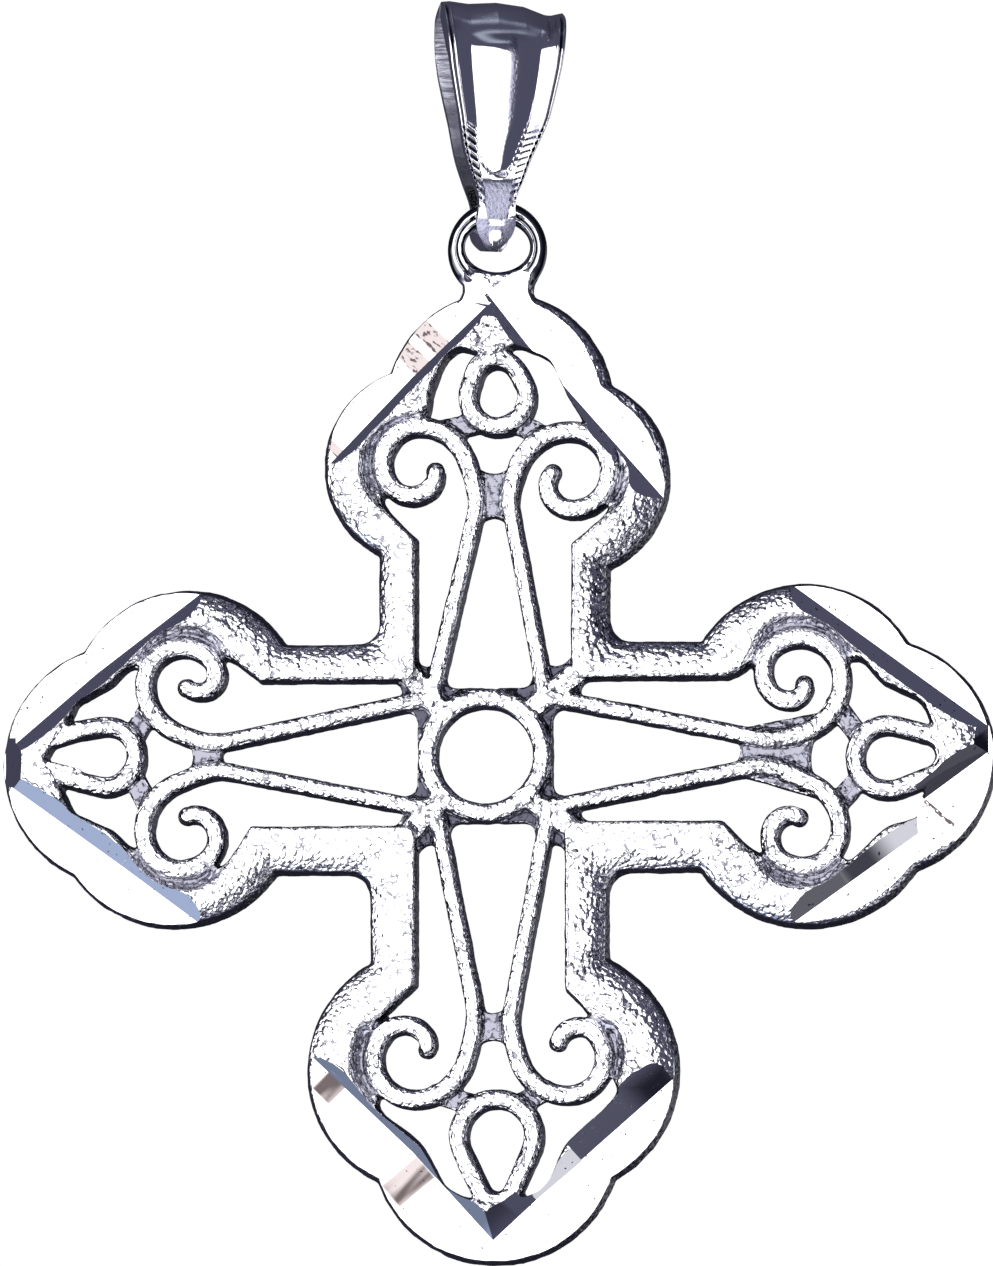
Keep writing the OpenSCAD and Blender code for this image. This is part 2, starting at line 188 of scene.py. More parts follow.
RIM = table(
    "heading side outer inner lobe_along lobe_across lobe_r fall",
    (RIGHT, -1, 4.5, 2.5, 12.1, 1.65, 5.02, 1.0),
    (RIGHT, 1, 4.4, 2.85, 11.96, 1.96, 4.63, 1.0),
    (TOP, -1, 4.54, 3.05, 10.7, 2.94, 3.92, 1.4),
    (TOP, 1, 4.35, 2.8, 11.15, 2.63, 3.85, 1.0),
    (LEFT, -1, 4.35, 2.8, 11.73, 1.96, 4.52, 1.0),
    (LEFT, 1, 4.54, 2.65, 12.15, 1.77, 4.81, 1.0),
    (BOTTOM, -1, 4.69, 2.8, 12.0, 2.38, 4.73, 1.0),
    (BOTTOM, 1, 4.5, 2.8, 12.04, 2.46, 4.73, 1.1))

TIPS = table(
    "heading along across r apex web_from web_to",
    (RIGHT, 14.65, -0.15, 4.62, 17.2, 9.4, 12.2),
    (TOP, 13.5, -0.27, 4.4, 15.2, 9.0, 10.8),
    (LEFT, 14.1, 0.29, 4.7, 17.0, 10.2, 11.4),
    (BOTTOM, 14.64, 0.15, 4.83, 17.0, 9.7, 10.85))

WINDOWS = table(
    "knee pocket_u pocket_v leave wing_u wing_v step_u step_v ledge_u ledge_v end_u end_v",
    (8.85, 9.95, 3.6, 120, 13.6, 4.2, 15.0, 2.75, 16.25, 2.45, 16.25, 2.0),
    (9.05, 9.65, 3.1, 110, 14.15, 3.6, 14.9, 2.65, 16.25, 2.05, 16.55, 1.7),
    (8.1, 9.4, 4.55, 130, 12.8, 3.5, 13.8, 2.9, 15.2, 2.25, 15.7, 1.0),
    (8.3, 9.7, 4.2, 100, 13.1, 2.3, 13.9, 2.25, 15.15, 1.75, 15.6, 1.2),
    (8.85, 9.85, 3.6, 110, 13.85, 3.45, 14.6, 2.65, 15.85, 2.05, 16.05, 1.55),
    (9.2, 10.2, 4.2, 120, 14.0, 3.3, 14.5, 2.75, 16.0, 2.1, 16.2, 1.7),
    (8.8, 10.45, 4.6, 140, 13.5, 4.35, 14.75, 2.65, 16.4, 1.8, 16.8, 1.1),
    (9.0, 9.8, 3.6, 170, 12.9, 4.95, 14.75, 2.8, 16.2, 2.2, 16.7, 1.7))

SCROLLS = table(
    "root_u root_v waist_u waist_v curl_u curl_v r last last_r power",
    (1.9, 2.05, 9.9, 0.5, 11.9, 2.85, 1.43, 340, 0.45, 1.6),
    (1.9, 2.3, 10.3, 0.62, 11.8, 2.85, 1.6, 400, 0.27, 1.3),
    (1.9, 2.15, 9.45, 0.75, 10.9, 3.0, 1.54, 353, 0.65, 2.3),
    (1.9, 2.35, 9.2, 0.62, 11.25, 2.77, 1.4, 332, 0.73, 1.5),
    (1.9, 2.3, 10.1, 0.6, 11.85, 2.77, 1.44, 305, 0.22, 3.0),
    (1.9, 2.15, 10.1, 0.55, 11.85, 2.85, 1.46, 340, 0.62, 1.8),
    (1.9, 2.15, 9.4, 0.68, 11.6, 2.95, 1.52, 325, 0.65, 1.5),
    (1.9, 2.25, 9.75, 0.78, 11.55, 2.9, 1.42, 300, 0.68, 1.5))

DROPS = table(
    "round_u round_v round_r point_u point_v point_r",
    (15.15, -0.15, 0.85, 16.48, -0.08, 0.44),
    (13.75, -0.25, 0.73, 14.35, -0.2, 0.5),
    (14.77, -0.04, 0.77, 16.7, -0.13, 0.36),
    (14.54, 0.2, 1.04, 16.3, 0.22, 0.3))
print(len(RIM), "half arms,", len(DROPS), "drops")


# %% Turn an arm's places into places on the plan
def on_plan(heading, side, places):
    places = np.atleast_2d(places)
    along, across = places[:, 0], side * places[:, 1]
    c, s = math.cos(math.radians(heading)), math.sin(math.radians(heading))
    return np.stack([c * along - s * across, s * along + c * across], axis=1)


def along_run(points, count):
    """Places spread over a run of straight stretches, the same number on each."""
    points = np.asarray(points, float)
    t = np.linspace(0, len(points) - 1, count)
    return np.stack([np.interp(t, range(len(points)), c) for c in points.T], axis=1)


def eased(points, rounds):
    """The same places with their corners rounded; the two ends stay."""
    points = points.copy()
    for _ in range(rounds):
        points[1:-1] = (points[:-2] + 2 * points[1:-1] + points[2:]) / 4
    return points


def on_circle(middle, r, angles):
    return np.asarray(middle) + r * np.stack([np.cos(angles), np.sin(angles)], axis=1)


print("an arm's tip on the plan:", on_plan(TOP, 1, [18, 0]).round(2).tolist())

# %% [markdown]
# ## The scrolls' line
#
# Each scroll leaves the middle as a straight stem, bends at its waist and rolls up into a curl.
# The stem is a straight line, the waist a quadratic curve, and the curl a circle whose radius
# opens towards the stem and tightens towards its end. The rim needs this line too, because its
# inner edge runs along the curl.

# %% From root to curl
CURL_OPEN = 0.32
HOOK_FROM = 225


def curl(row, degrees):
    degrees = np.atleast_1d(np.asarray(degrees, float))
    opened = row.r * (1 + CURL_OPEN * np.clip(1 - degrees / 90, 0, 1) ** 2)
    late = np.clip((degrees - HOOK_FROM) / (row.last - HOOK_FROM), 0, None) ** row.power
    r = np.where(degrees < HOOK_FROM, opened, mix(row.r, row.last_r, late))
    a = np.radians(degrees)
    return np.stack([row.curl_u + r * np.sin(a), row.curl_v - r * np.cos(a)], axis=1)


def scroll_line(row, stem=24, bend=12, turn=72):
    root, waist = np.array([row.root_u, row.root_v]), np.array([row.waist_u, row.waist_v])
    start = curl(row, 0)[0]
    steer = waist + (waist - root) * 0.4 * (start[0] - waist[0]) / (waist[0] - root[0])
    t = np.linspace(0, 1, bend, endpoint=False)[:, None]
    return np.concatenate([
        mix(root, waist, np.linspace(0, 1, stem, endpoint=False)[:, None]),
        (1 - t) ** 2 * waist + 2 * t * (1 - t) * steer + t ** 2 * start,
        curl(row, np.linspace(0, row.last, turn))])


print("a scroll's line has", len(scroll_line(SCROLLS[0])), "places")

# %% [markdown]
# ## The rim
#
# The rim is a band between two edges. Its outer edge is a shaft, a lobe's arc and the tip's
# arc; its inner edge follows the window. At every place a section spans from one edge to the
# other: a leaning outer wall, a long round slope up to a crown near the inner edge, and a short
# round down to an upright inner wall. Beside a curl the inner side dips early, which leaves the
# groove that sets the wire off from the rim.

# %% The band's two edges
RIM_H = 1.4
ARM_FILLET = 0.85
INNER_FILLET = 0.3
CORNER_STEPS, LOBE_STEPS, TIP_STEPS = 6, 48, 24
CURL_MEETS_RIM = 215


def neighbour(k):
    return (k + 7 if k % 2 == 0 else k + 1) % 8


def corner(shaft, beyond, fillet):
    """Half of the round corner between this arm's shaft and the one beyond."""
    a = np.radians(np.linspace(45, 0, CORNER_STEPS, endpoint=False))
    return np.stack([beyond + fillet - fillet * np.sin(a),
                     shaft + fillet - fillet * np.cos(a)], axis=1)


def outer_edge(k):
    row, tip = RIM[k], TIPS[k // 2]
    lobe = np.array([row.lobe_along, row.lobe_across])
    end = np.array([tip.along, row.side * tip.across])
    d = np.linalg.norm(end - lobe)
    u = (end - lobe) / d
    x = (d * d + row.lobe_r ** 2 - tip.r ** 2) / (2 * d)
    notch = lobe + u * x + np.array([-u[1], u[0]]) * math.sqrt(row.lobe_r ** 2 - x * x)
    rise = row.outer - row.lobe_across
    knee = row.lobe_along - math.sqrt(row.lobe_r ** 2 - rise ** 2)
    from_knee, to_notch = math.atan2(rise, knee - lobe[0]), math.atan2(*(notch - lobe)[::-1])
    from_notch, to_middle = math.atan2(*(notch - end)[::-1]), math.asin(-end[1] / tip.r)
    return np.concatenate([
        corner(row.outer, RIM[neighbour(k)].outer, ARM_FILLET),
        on_circle(lobe, row.lobe_r, np.linspace(from_knee, to_notch, LOBE_STEPS)),
        on_circle(end, tip.r, np.linspace(from_notch, to_middle, TIP_STEPS + 1)[1:])])


def inner_edge(k):
    """Along, across, and a third value that is 1 beside the curl and 0 elsewhere."""
    row, w, tip, s = RIM[k], WINDOWS[k], TIPS[k // 2], SCROLLS[k]
    first = corner(row.inner, RIM[neighbour(k)].inner, INNER_FILLET)
    beside = curl(s, np.linspace(CURL_MEETS_RIM, w.leave, 5))
    lobe = [[w.knee, row.inner, 0], [w.pocket_u, w.pocket_v, 0]]
    lobe += [[u, v, 1] for u, v in beside]
    lobe += [[w.wing_u, w.wing_v, 0], [w.step_u, w.step_v, 0]]
    end = [lobe[-1], [w.ledge_u, w.ledge_v, 0], [w.end_u, w.end_v, 0], [tip.apex, 0, 0]]
    path = np.concatenate([along_run(lobe, LOBE_STEPS), along_run(end, TIP_STEPS + 1)[1:]])
    return np.concatenate([np.c_[first, np.zeros(CORNER_STEPS)], eased(path, 3)])


print("edge places per half arm:", len(outer_edge(0)), "and", len(inner_edge(0)))

# %% Span the section between them
BAND_STEPS = CORNER_STEPS + LOBE_STEPS + TIP_STEPS
FALL_AT = (3, 9, 54, 62)  # places along the band between which the outer slope falls further
LESS_BESIDE_CURL = 0.25
INNER_AT_MOST = 0.55
OUTER_SIDE = table(
    "off part share",
    (0.0, 0.0, -0.15),
    (0.16, 0.0, 0.5),
    (0.2, 0.0, 0.62),
    (0.17, 0.1, 0.735),
    (0.12, 0.25, 0.845),
    (0.07, 0.42, 0.92),
    (0.05, 0.6, 0.972))
INNER_SIDE = table(
    "off share curl_off curl_share",
    (0.32, 1.0, 1.04, 1.0),
    (0.2, 0.99, 0.88, 0.95),
    (0.12, 0.94, 0.74, 0.66),
    (0.07, 0.82, 0.42, 0.6),
    (0.05, 0.6, 0.1, 0.5),
    (0.0, -0.15, 0.05, -0.15))


def rim_rings():
    """The section at each place, its corners given by distance from the outer edge and height."""
    rings = []
    for k, row in enumerate(RIM):
        outer, inner = outer_edge(k), inner_edge(k)
        if row.side > 0:
            outer, inner = outer[::-1], inner[::-1]
        beside = inner[:-1, 2:]
        outer = on_plan(row.heading, row.side, outer)[:-1]
        inner = on_plan(row.heading, row.side, inner[:, :2])[:-1]
        width = np.linalg.norm(inner - outer, axis=1, keepdims=True)
        fall = 1 + (row.fall - 1) * np.interp(range(BAND_STEPS), FALL_AT, (0, 1, 1, 0))
        fall = (fall[::-1] if row.side > 0 else fall)[:len(width), None]
        corners = [(c.off + c.part * width * (1 - LESS_BESIDE_CURL * beside),
                    1 - (1 - c.share) * (fall if c.part else 1)) for c in OUTER_SIDE]
        corners += [(width - np.minimum(mix(c.off, c.curl_off, beside), INNER_AT_MOST * width),
                     mix(c.share, c.curl_share, beside)) for c in INNER_SIDE]
        rings.append(np.stack([
            np.c_[outer + (inner - outer) * d / width, share * RIM_H * np.ones_like(width)]
            for d, share in corners], axis=1))
    return np.concatenate(rings)


solids = [skin("rim", rim_rings(), closed=True)]
print("the rim has", len(solids[0].data.polygons), "faces before the casting")

# %% [markdown]
# ## Wires
#
# Scrolls, drops and the middle ring are cast in the shape of half-round wire: sides that lean a
# little, so that the wax leaves its mould, and a rounded top. Each wire's line gives the places
# and a width, and the section turns with it.

# %% Lay a wire along a line
WIRE_H = 1.2
WIRE_W = 0.8
STEM_W = 0.7
UNDER = -0.3
SHOULDER = 0.82
LEAN = 0.86
ARCH_STEPS = 11
WIDTH_AT = (0, 0.2, 0.35, 0.9, 1)
BALL_R = STEM_W / 2 + 0.03
BALL_TALL = 1.15


def wire(name, line, widths, height, closed=False):
    line = np.asarray(line, float)
    if closed:
        way = np.roll(line, -1, axis=0) - np.roll(line, 1, axis=0)
    else:
        way = np.gradient(line, axis=0)
    way /= np.linalg.norm(way, axis=1, keepdims=True)
    sideways = np.stack([-way[:, 1], way[:, 0]], axis=1)
    arch = np.radians(np.linspace(180, 0, ARCH_STEPS))
    across = np.concatenate([[-1], LEAN * np.cos(arch), [1]]) / 2
    up = np.concatenate([[UNDER], height * (SHOULDER + (1 - SHOULDER) * np.sin(arch)), [UNDER]])
    widths = np.broadcast_to(widths, len(line))
    rings = [[(*(p + s * w * a), h) for a, h in zip(across, up)]
             for p, s, w in zip(line, sideways, widths)]
    return skin(name, rings, closed)


def ball(name, at, r, h):
    made = new_object(name)
    with editing(made) as shape:
        bmesh.ops.create_uvsphere(shape, u_segments=16, v_segments=10, radius=r)
        bmesh.ops.scale(shape, vec=(1, 1, h / (2 * r) * BALL_TALL), verts=shape.verts)
        up = h - h * BALL_TALL / 2
        bmesh.ops.translate(shape, vec=(at[0], at[1], up), verts=shape.verts)
    return made


for k, (row, s) in enumerate(zip(RIM, SCROLLS)):
    line = on_plan(row.heading, row.side, scroll_line(s))
    place_along = np.linspace(0, 1, len(line))
    widths = np.interp(place_along, WIDTH_AT, (STEM_W, STEM_W, WIRE_W, WIRE_W, STEM_W))
    solids.append(wire(f"scroll_{k}", line, widths, WIRE_H))
    solids.append(ball(f"scroll_end_{k}", line[-1], BALL_R, WIRE_H))
print("made", len(SCROLLS), "scrolls")

# %% Drops and the middle ring
HUB_R = 2.2
HUB_X = -0.23
HUB_H = WIRE_H + 0.04
DROP_H = 1.32


def drop_line(d):
    a, b = np.array([d.round_u, d.round_v]), np.array([d.point_u, d.point_v])
    turn = math.atan2(b[1] - a[1], b[0] - a[0])
    touch = math.acos((d.round_r - d.point_r) / np.linalg.norm(b - a))
    far = turn + np.linspace(touch, 2 * math.pi - touch, 30)
    near = turn + np.linspace(-touch, touch, 16)
    return np.concatenate([
        on_circle(a, d.round_r + WIRE_W / 2, far), on_circle(b, d.point_r + WIRE_W / 2, near)])


for k, d in enumerate(DROPS):
    line = on_plan(TIPS[k].heading, 1, drop_line(d))
    solids.append(wire(f"drop_{k}", line, WIRE_W, DROP_H, closed=True))
hub_line = on_circle((HUB_X, 0), HUB_R, np.linspace(0, 2 * math.pi, 64, endpoint=False))
solids.append(wire("middle_ring", hub_line, WIRE_W, HUB_H, closed=True))
print("made", len(DROPS), "drops and the middle ring")

# %% [markdown]
# ## Webs
#
# Where two wires touch in a wax model, metal fills the sharp corner between them. Such a web is
# an upright plate, lower than the wires that hide its edges. Its outline can bow inwards, which
# gives the openings beside it their round corners. A web with round ends is the hull of two discs.

# %% Fill the corners
WEB_H = 0.85
TIE_R = 0.4
TIE_AT = (55, 145)  # degrees, round the curl and round the drop
ROOT_FROM, ROOT_TO = 2.1, 4.0
ROOT_BOW = 0.60
INTO_RIM = 0.2
CORNER_R = 0.42
ROUND = 0.29
MEET_MORE = (0.40, 0.85)
MEET_BOW = (0.55, 0.85)
DIAGONAL_R = (0.36, 0.40)
DIAGONAL_H = WIRE_H - 0.08
INTO_CORNER = 1.15
LEFT_TIP_FILL = (((15.9, 0.72), (17.3, 0.36)), ((15.9, -0.95), (17.3, -0.55)),
                 ((17.45, 0.3), (17.45, -0.5)))


def plate(name, corners, h=WEB_H):
    return skin(name, [[(*c, z) for c in corners] for z in (UNDER, h)], closed=False)


def bow(a, b, deep):
    """Places from a to b on a line that bends to the left of the way by a depth."""
    a, b = np.array(a), np.array(b)
    left = np.array([a[1] - b[1], b[0] - a[0]]) / np.linalg.norm(b - a)
    return [tuple(mix(a, b, t) + left * deep * 4 * t * (1 - t)) for t in np.linspace(0, 1, 9)]


def web(name, a, b, ra, rb, h=WEB_H):
    points = [(at[0] + r * math.cos(t), at[1] + r * math.sin(t), z) for at, r in ((a, ra), (b, rb))
              for t in np.linspace(0, 2 * math.pi, 16, endpoint=False) for z in (UNDER, h)]
    made = new_object(name, points)
    with editing(made) as shape:
        bmesh.ops.convex_hull(shape, input=shape.verts)
    return made


def across_at(s, along):
    """How far a scroll's stem lies from the arm's middle, at a place along the arm."""
    line = scroll_line(s)
    stem = line[:np.argmax(line[:, 0])]
    return float(np.interp(along, stem[:, 0], stem[:, 1]))


for k, (row, s) in enumerate(zip(RIM, SCROLLS)):
    d = DROPS[k // 2]
    beside = math.radians(TIE_AT[1])
    reach = d.round_r + WIRE_W / 2
    ends = on_plan(row.heading, row.side, [
        curl(s, TIE_AT[0])[0],
        (d.round_u + reach * math.cos(beside), row.side * d.round_v + reach * math.sin(beside))])
    solids.append(web(f"tie_{k}", ends[0], ends[1], TIE_R, TIE_R))
    in_rim = row.inner + INTO_RIM
    mouth = bow((ROOT_TO, across_at(s, ROOT_TO)), (ROOT_TO, in_rim), ROOT_BOW)
    root = [(ROOT_FROM, across_at(s, ROOT_FROM)), *mouth, (ROOT_FROM, in_rim)]
    solids.append(plate(f"root_{k}", on_plan(row.heading, row.side, root)))
    edge = HUB_R + WIRE_W / 2 - 0.02 + HUB_X * math.cos(math.radians(row.heading))
    stem = across_at(s, edge + CORNER_R) - STEM_W / 2
    flat = [(edge - 0.6, 0.3), (edge, 0.3),
            *bow((edge, stem - CORNER_R), (edge + CORNER_R, stem), ROUND * CORNER_R),
            (edge + CORNER_R, stem + 0.3), (edge - 0.6, stem + 0.5)]
    solids.append(plate(f"flat_{k}", on_plan(row.heading, row.side, flat)))
for k, tip in enumerate(TIPS):
    first, second = SCROLLS[2 * k], SCROLLS[2 * k + 1]
    a, b = tip.web_from - MEET_MORE[0], tip.web_to + MEET_MORE[1]
    meet = bow((a, across_at(second, a)), (a, -across_at(first, a)), MEET_BOW[0])
    meet += bow((b, -across_at(first, b)), (b, across_at(second, b)), MEET_BOW[1])
    solids.append(plate(f"meet_{k}", on_plan(tip.heading, 1, meet)))
    a = math.radians(45 + 90 * k)
    c = on_plan(RIM[2 * k + 1].heading, 1, [RIM[(2 * k + 2) % 8].inner, RIM[2 * k + 1].inner])[0]
    start = (HUB_X + HUB_R * math.cos(a), HUB_R * math.sin(a))
    solids.append(web(f"diagonal_{k}", start, c * INTO_CORNER, *DIAGONAL_R, h=DIAGONAL_H))
for ends in LEFT_TIP_FILL:
    a, b = on_plan(LEFT, 1, ends)
    solids.append(web("left_tip_fill", a, b, 0.30, 0.30, h=DROP_H))
print("the casting is made of", len(solids), "solids so far")

# %% [markdown]
# ## The hanging ring
#
# The ring at the top is not round wire: two low ridges run round it. Its hole is wider than it
# is tall, because the neck below fills the foot. Rings of points between an outer circle and an
# inner ellipse give that shape; each also gives the painted shade between the ridges. The ring
# is soldered on after casting, so it stays out of the fusing below and keeps them crisp.

# %% Ring and neck
RING_UP = 19.42
RING_R = 1.91
HOLE = (1.25, 0.96)
HOLE_RAISE = 0.12
RING_HALF_DEPTH = 0.36
NECK_H = 1.08
NECK_SHOULDER = 0.4
NECK_NARROWS = 0.84
NECK = ((-1.6, 17.1), (-1.28, 17.45), (-1.12, 17.8), (-1.12, 18.15), (-1.35, 18.6),
        (-0.4, 18.5), (0.24, 18.44), (0.9, 18.5), (1.85, 18.6), (1.62, 18.15),
        (1.6, 17.8), (1.78, 17.45), (2.1, 17.1), (1.6, 16.0), (-1.2, 16.0))
RIDGES = table(
    "share height dark",
    (0.0, 0.0, 1.0), (0.05, 0.45, 1.0), (0.16, 0.8, 1.0), (0.29, 1.08, 0.8), (0.36, 1.22, 0.0),
    (0.43, 1.24, 0.0), (0.48, 1.16, 0.0), (0.54, 0.86, 1.0), (0.6, 0.82, 1.0), (0.67, 1.04, 0.0),
    (0.76, 1.06, 0.0), (0.84, 0.8, 0.7), (0.93, 0.4, 1.0), (1.0, 0.0, 1.0), (0.88, -0.75, 1.0),
    (0.6, -1.0, 0.0), (0.3, -0.95, 0.0), (0.08, -0.6, 1.0))
RING_STEPS = 144

rings, shadows = [], []
for t in np.linspace(0, 2 * math.pi, RING_STEPS, endpoint=False):
    c, s = math.cos(t), math.sin(t)
    outer = np.array([RING_X + RING_R * c, RING_UP + RING_R * s])
    inner = np.array([RING_X + HOLE[0] * c, RING_UP + HOLE_RAISE + HOLE[1] * s])
    uneven = 1 + 0.04 * math.sin(7 * t + 1) + 0.03 * math.sin(17 * t) - 0.7 * smooth(0.62, 0.9, -s)
    # Painted shade between the ridges; on the rows outside the hole it fades out near the ring's
    # foot.
    shadows += [row.dark * (1 if row.share > 0.8 else 1 - smooth(0.6, 0.8, -s)) for row in RIDGES]
    rings.append([(*mix(outer, inner, row.share), RING_BACK + RING_HALF_DEPTH * row.height * uneven)
                  for row in RIDGES])
hanging_ring = skin("hanging_ring", rings, closed=True)
narrowed = [(mix(RING_X, x, NECK_NARROWS), y) for x, y in NECK]
solids.append(skin("neck", [[(*c, UNDER) for c in NECK], [(*c, NECK_SHOULDER) for c in NECK],
                            [(*c, NECK_H) for c in narrowed]], closed=False))
print("ring from", round(RING_UP - RING_R, 2), "to", round(RING_UP + RING_R, 2), "mm up")

# %% [markdown]
# ## Casting
#
# Molten silver knows no seams: all these solids become one skin with soft inner corners. A
# boolean union would leave every crossing sharp. A voxel remesh fuses and softens in one go; a
# few smoothing passes then take off the voxels' own stairs, and two layers of clouds give the
# metal the slight unevenness of a hand-finished wax. Decimation keeps the count in bounds.

# %% Fuse, soften and decimate
VOXEL = 0.062
CAST_TRIANGLES = 172_000


def applied(thing):
    """The thing's mesh with all its modifiers worked in."""
    graph = bpy.context.evaluated_depsgraph_get()
    mesh = bpy.data.meshes.new_from_object(thing.evaluated_get(graph))
    thing.modifiers.clear()
    thing.data = mesh
    return mesh


def clouds(thing, size, strength):
    texture = bpy.data.textures.new(f"clouds_{size}", "CLOUDS")
    texture.noise_scale = size
    uneven = thing.modifiers.new("uneven", "DISPLACE")
    uneven.texture = texture
    uneven.strength = strength
    uneven.texture_coords = "LOCAL"


def joined(name, things):
    made = new_object(name)
    with editing(made) as shape:
        for thing in things:
            shape.from_mesh(thing.data)
            bpy.data.objects.remove(thing)
    return made


cross = joined("cast_cross", solids)
fuse = cross.modifiers.new("fuse", "REMESH")
fuse.mode = "VOXEL"
fuse.voxel_size = VOXEL
soften = cross.modifiers.new("soften", "SMOOTH")
soften.factor = 0.5
soften.iterations = 3
clouds(cross, size=0.9, strength=0.06)
clouds(cross, size=0.3, strength=0.035)
applied(cross)
dense = len(cross.data.polygons) * 2
fewer = cross.modifiers.new("fewer", "DECIMATE")
fewer.ratio = CAST_TRIANGLES / dense
applied(cross)
print("the casting went from", dense, "to", len(cross.data.polygons), "triangles")

# %% [markdown]
# ## Mirror cuts
#
# The bright bands on the arm ends are cut after casting with a diamond tool: flat floors with a
# short leaning wall on the inner side. They have to be truly flat and crisp, so they come after
# the softening, as booleans whose cutters bring the mirror's material along. A row of the table
# gives a cut's line and how far it runs on before and after, then the floor's height at the
# line, its fall outwards, the wall's width and, if it is short, the cut's reach outwards.

# %% Cut the arm ends
FAR_REACH = 7
CUTS = table(
    "x0 y0 x1 y1 before after floor fall wall reach",
    (0.08, 17.46, -1.7, 15.75, 0.35, 0.1, 1.04, 0.2, 0.46),
    (-1.7, 15.75, -3.15, 14.35, 0.1, 0.3, 1.04, 0.2, 0.46),
    (-3.15, 14.35, -6.4, 10.95, 0.3, 1.5, 1.0, 0.18, 0.5),
    (0.08, 17.46, 1.4, 15.75, 0.35, 0.1, 0.77, -0.18, 0.46),
    (-0.8, 17.36, 0.92, 17.36, 0.0, 0.0, 0.95, 0.0, 0.95, 0.02),
    (1.4, 15.75, 6.46, 10.0, 0.1, 1.5, 0.77, -0.18, 0.8),
    (-11.46, 6.0, -15.08, 3.23, 1.5, 0.2, 0.9, 0.06, 0.6),
    (-15.08, 3.23, -18.73, 0.1, 0.2, 0.1, 0.9, 0.06, 0.66),
    (-18.7, 0.75, -18.7, -1.15, 0.0, 0.0, 0.2, 0.06, 0.9),
    (-18.35, -1.15, -14.1, -4.2, 0.0, 0.0, 0.75, 0.06, 0.72),
    (-14.1, -4.2, -11.2, -6.35, 0.0, 1.5, 0.75, 0.06, 0.72),
    (0.1, -18.5, -2.96, -15.15, 1.5, 0.1, 0.9, 0.06, 0.6),
    (-2.96, -15.15, -6.6, -11.7, 0.1, 1.5, 0.97, 0.06, 0.53),
    (0.08, -18.5, 1.75, -16.95, 1.5, 0.0, 0.9, 0.06, 1.15),
    (1.75, -16.95, 3.7, -15.3, 0.0, 0.0, 0.9, 0.06, 0.75),
    (3.45, -15.45, 7.15, -12.2, 0.0, 1.5, 0.9, 0.06, 1.45),
    (11.53, 6.45, 18.98, 1.0, 1.5, 0.3, 0.85, 0.06, 0.74),
    (18.97, 1.05, 18.97, -0.05, 0.0, 0.0, 0.55, 0.0, 0.75),
    (19.03, 0.1, 16.5, -1.75, 0.2, 0.0, 0.6, -0.12, 0.74),
    (16.3, -1.6, 16.3, -2.95, 0.0, 0.6, 0.8, -0.12, 0.05),
    (16.62, -2.84, 11.75, -6.3, 0.0, 1.5, 0.88, -0.14, 0.76),
    defaults=(FAR_REACH,))
CUT_TOP = 3

cast_silver = bpy.data.materials.new("cast_silver")
mirror_silver = bpy.data.materials.new("mirror_silver")
cross.data.materials.append(cast_silver)
for number, cut in enumerate(CUTS):
    start, end = np.array([cut.x0, cut.y0]), np.array([cut.x1, cut.y1])
    way = (end - start) / np.linalg.norm(end - start)
    out = np.array([-way[1], way[0]])
    out *= np.sign(out @ (start + end))
    side_view = ((0, cut.floor), (-cut.wall, RIM_H + 0.1), (-cut.wall, CUT_TOP),
                 (cut.reach, CUT_TOP), (cut.reach, cut.floor - cut.fall * cut.reach))
    ends = (start - way * cut.before, end + way * cut.after)
    sections = [[(*(end + out * o), h) for o, h in side_view] for end in ends]
    cutter = skin(f"cutter_{number}", sections, closed=False)
    cutter.data.materials.append(mirror_silver)
    carve = cross.modifiers.new("carve", "BOOLEAN")
    carve.operation = "DIFFERENCE"
    carve.solver = "MANIFOLD"
    carve.material_mode = "TRANSFER"
    carve.object = cutter
    applied(cross)
    bpy.data.objects.remove(cutter)
print("after the cuts:", sum(len(p.vertices) - 2 for p in cross.data.polygons), "triangles,",
      [m.name for m in cross.data.materials])

# %% [markdown]
# Crisp cuts need crisp shading. The casting is shaded smooth, the mirror faces flat, and every
# edge between the two is marked sharp. Four numbers are also kept with each point of the mesh
# for the finishes: how steep the metal stands there, which sets the painted shade on the walls,
# whether it lies low on a web, which sets the painted shade on the webs, how deep it is in a
# hollow, and whether the cast skin wrinkled, as it does where metal ran together from two sides.
# Measuring them once on the mesh is quicker than asking the shader, and they travel with the
# mesh. The ring keeps its hollows and the painted shade between its ridges.

# %% Shade and measure the casting
def shade(thing, sharp_angle, flat_slot=None):
    """Smooth shading, with sharp edges at steep folds and round the flat slot's faces."""
    with editing(thing) as shape:
        for face in shape.faces:
            face.smooth = face.material_index != flat_slot
        for edge in shape.edges:
            if len(edge.link_faces) == 2:
                a, b = edge.link_faces
                if a.material_index != b.material_index or edge.calc_face_angle() > sharp_angle:
                    edge.smooth = False


def keep(thing, name, values):
    layer = thing.data.attributes.new(name, "FLOAT", "POINT")
    layer.data.foreach_set("value", np.asarray(values, np.float32))


def point_arrays(mesh):
    count = len(mesh.vertices)
    places, normals = np.empty(count * 3), np.empty(count * 3)
    mesh.vertices.foreach_get("co", places)
    mesh.vertex_normals.foreach_get("vector", normals)
    edges = np.empty(len(mesh.edges) * 2, int)
    mesh.edges.foreach_get("vertices", edges)
    return places.reshape(-1, 3), normals.reshape(-1, 3), edges.reshape(-1, 2)


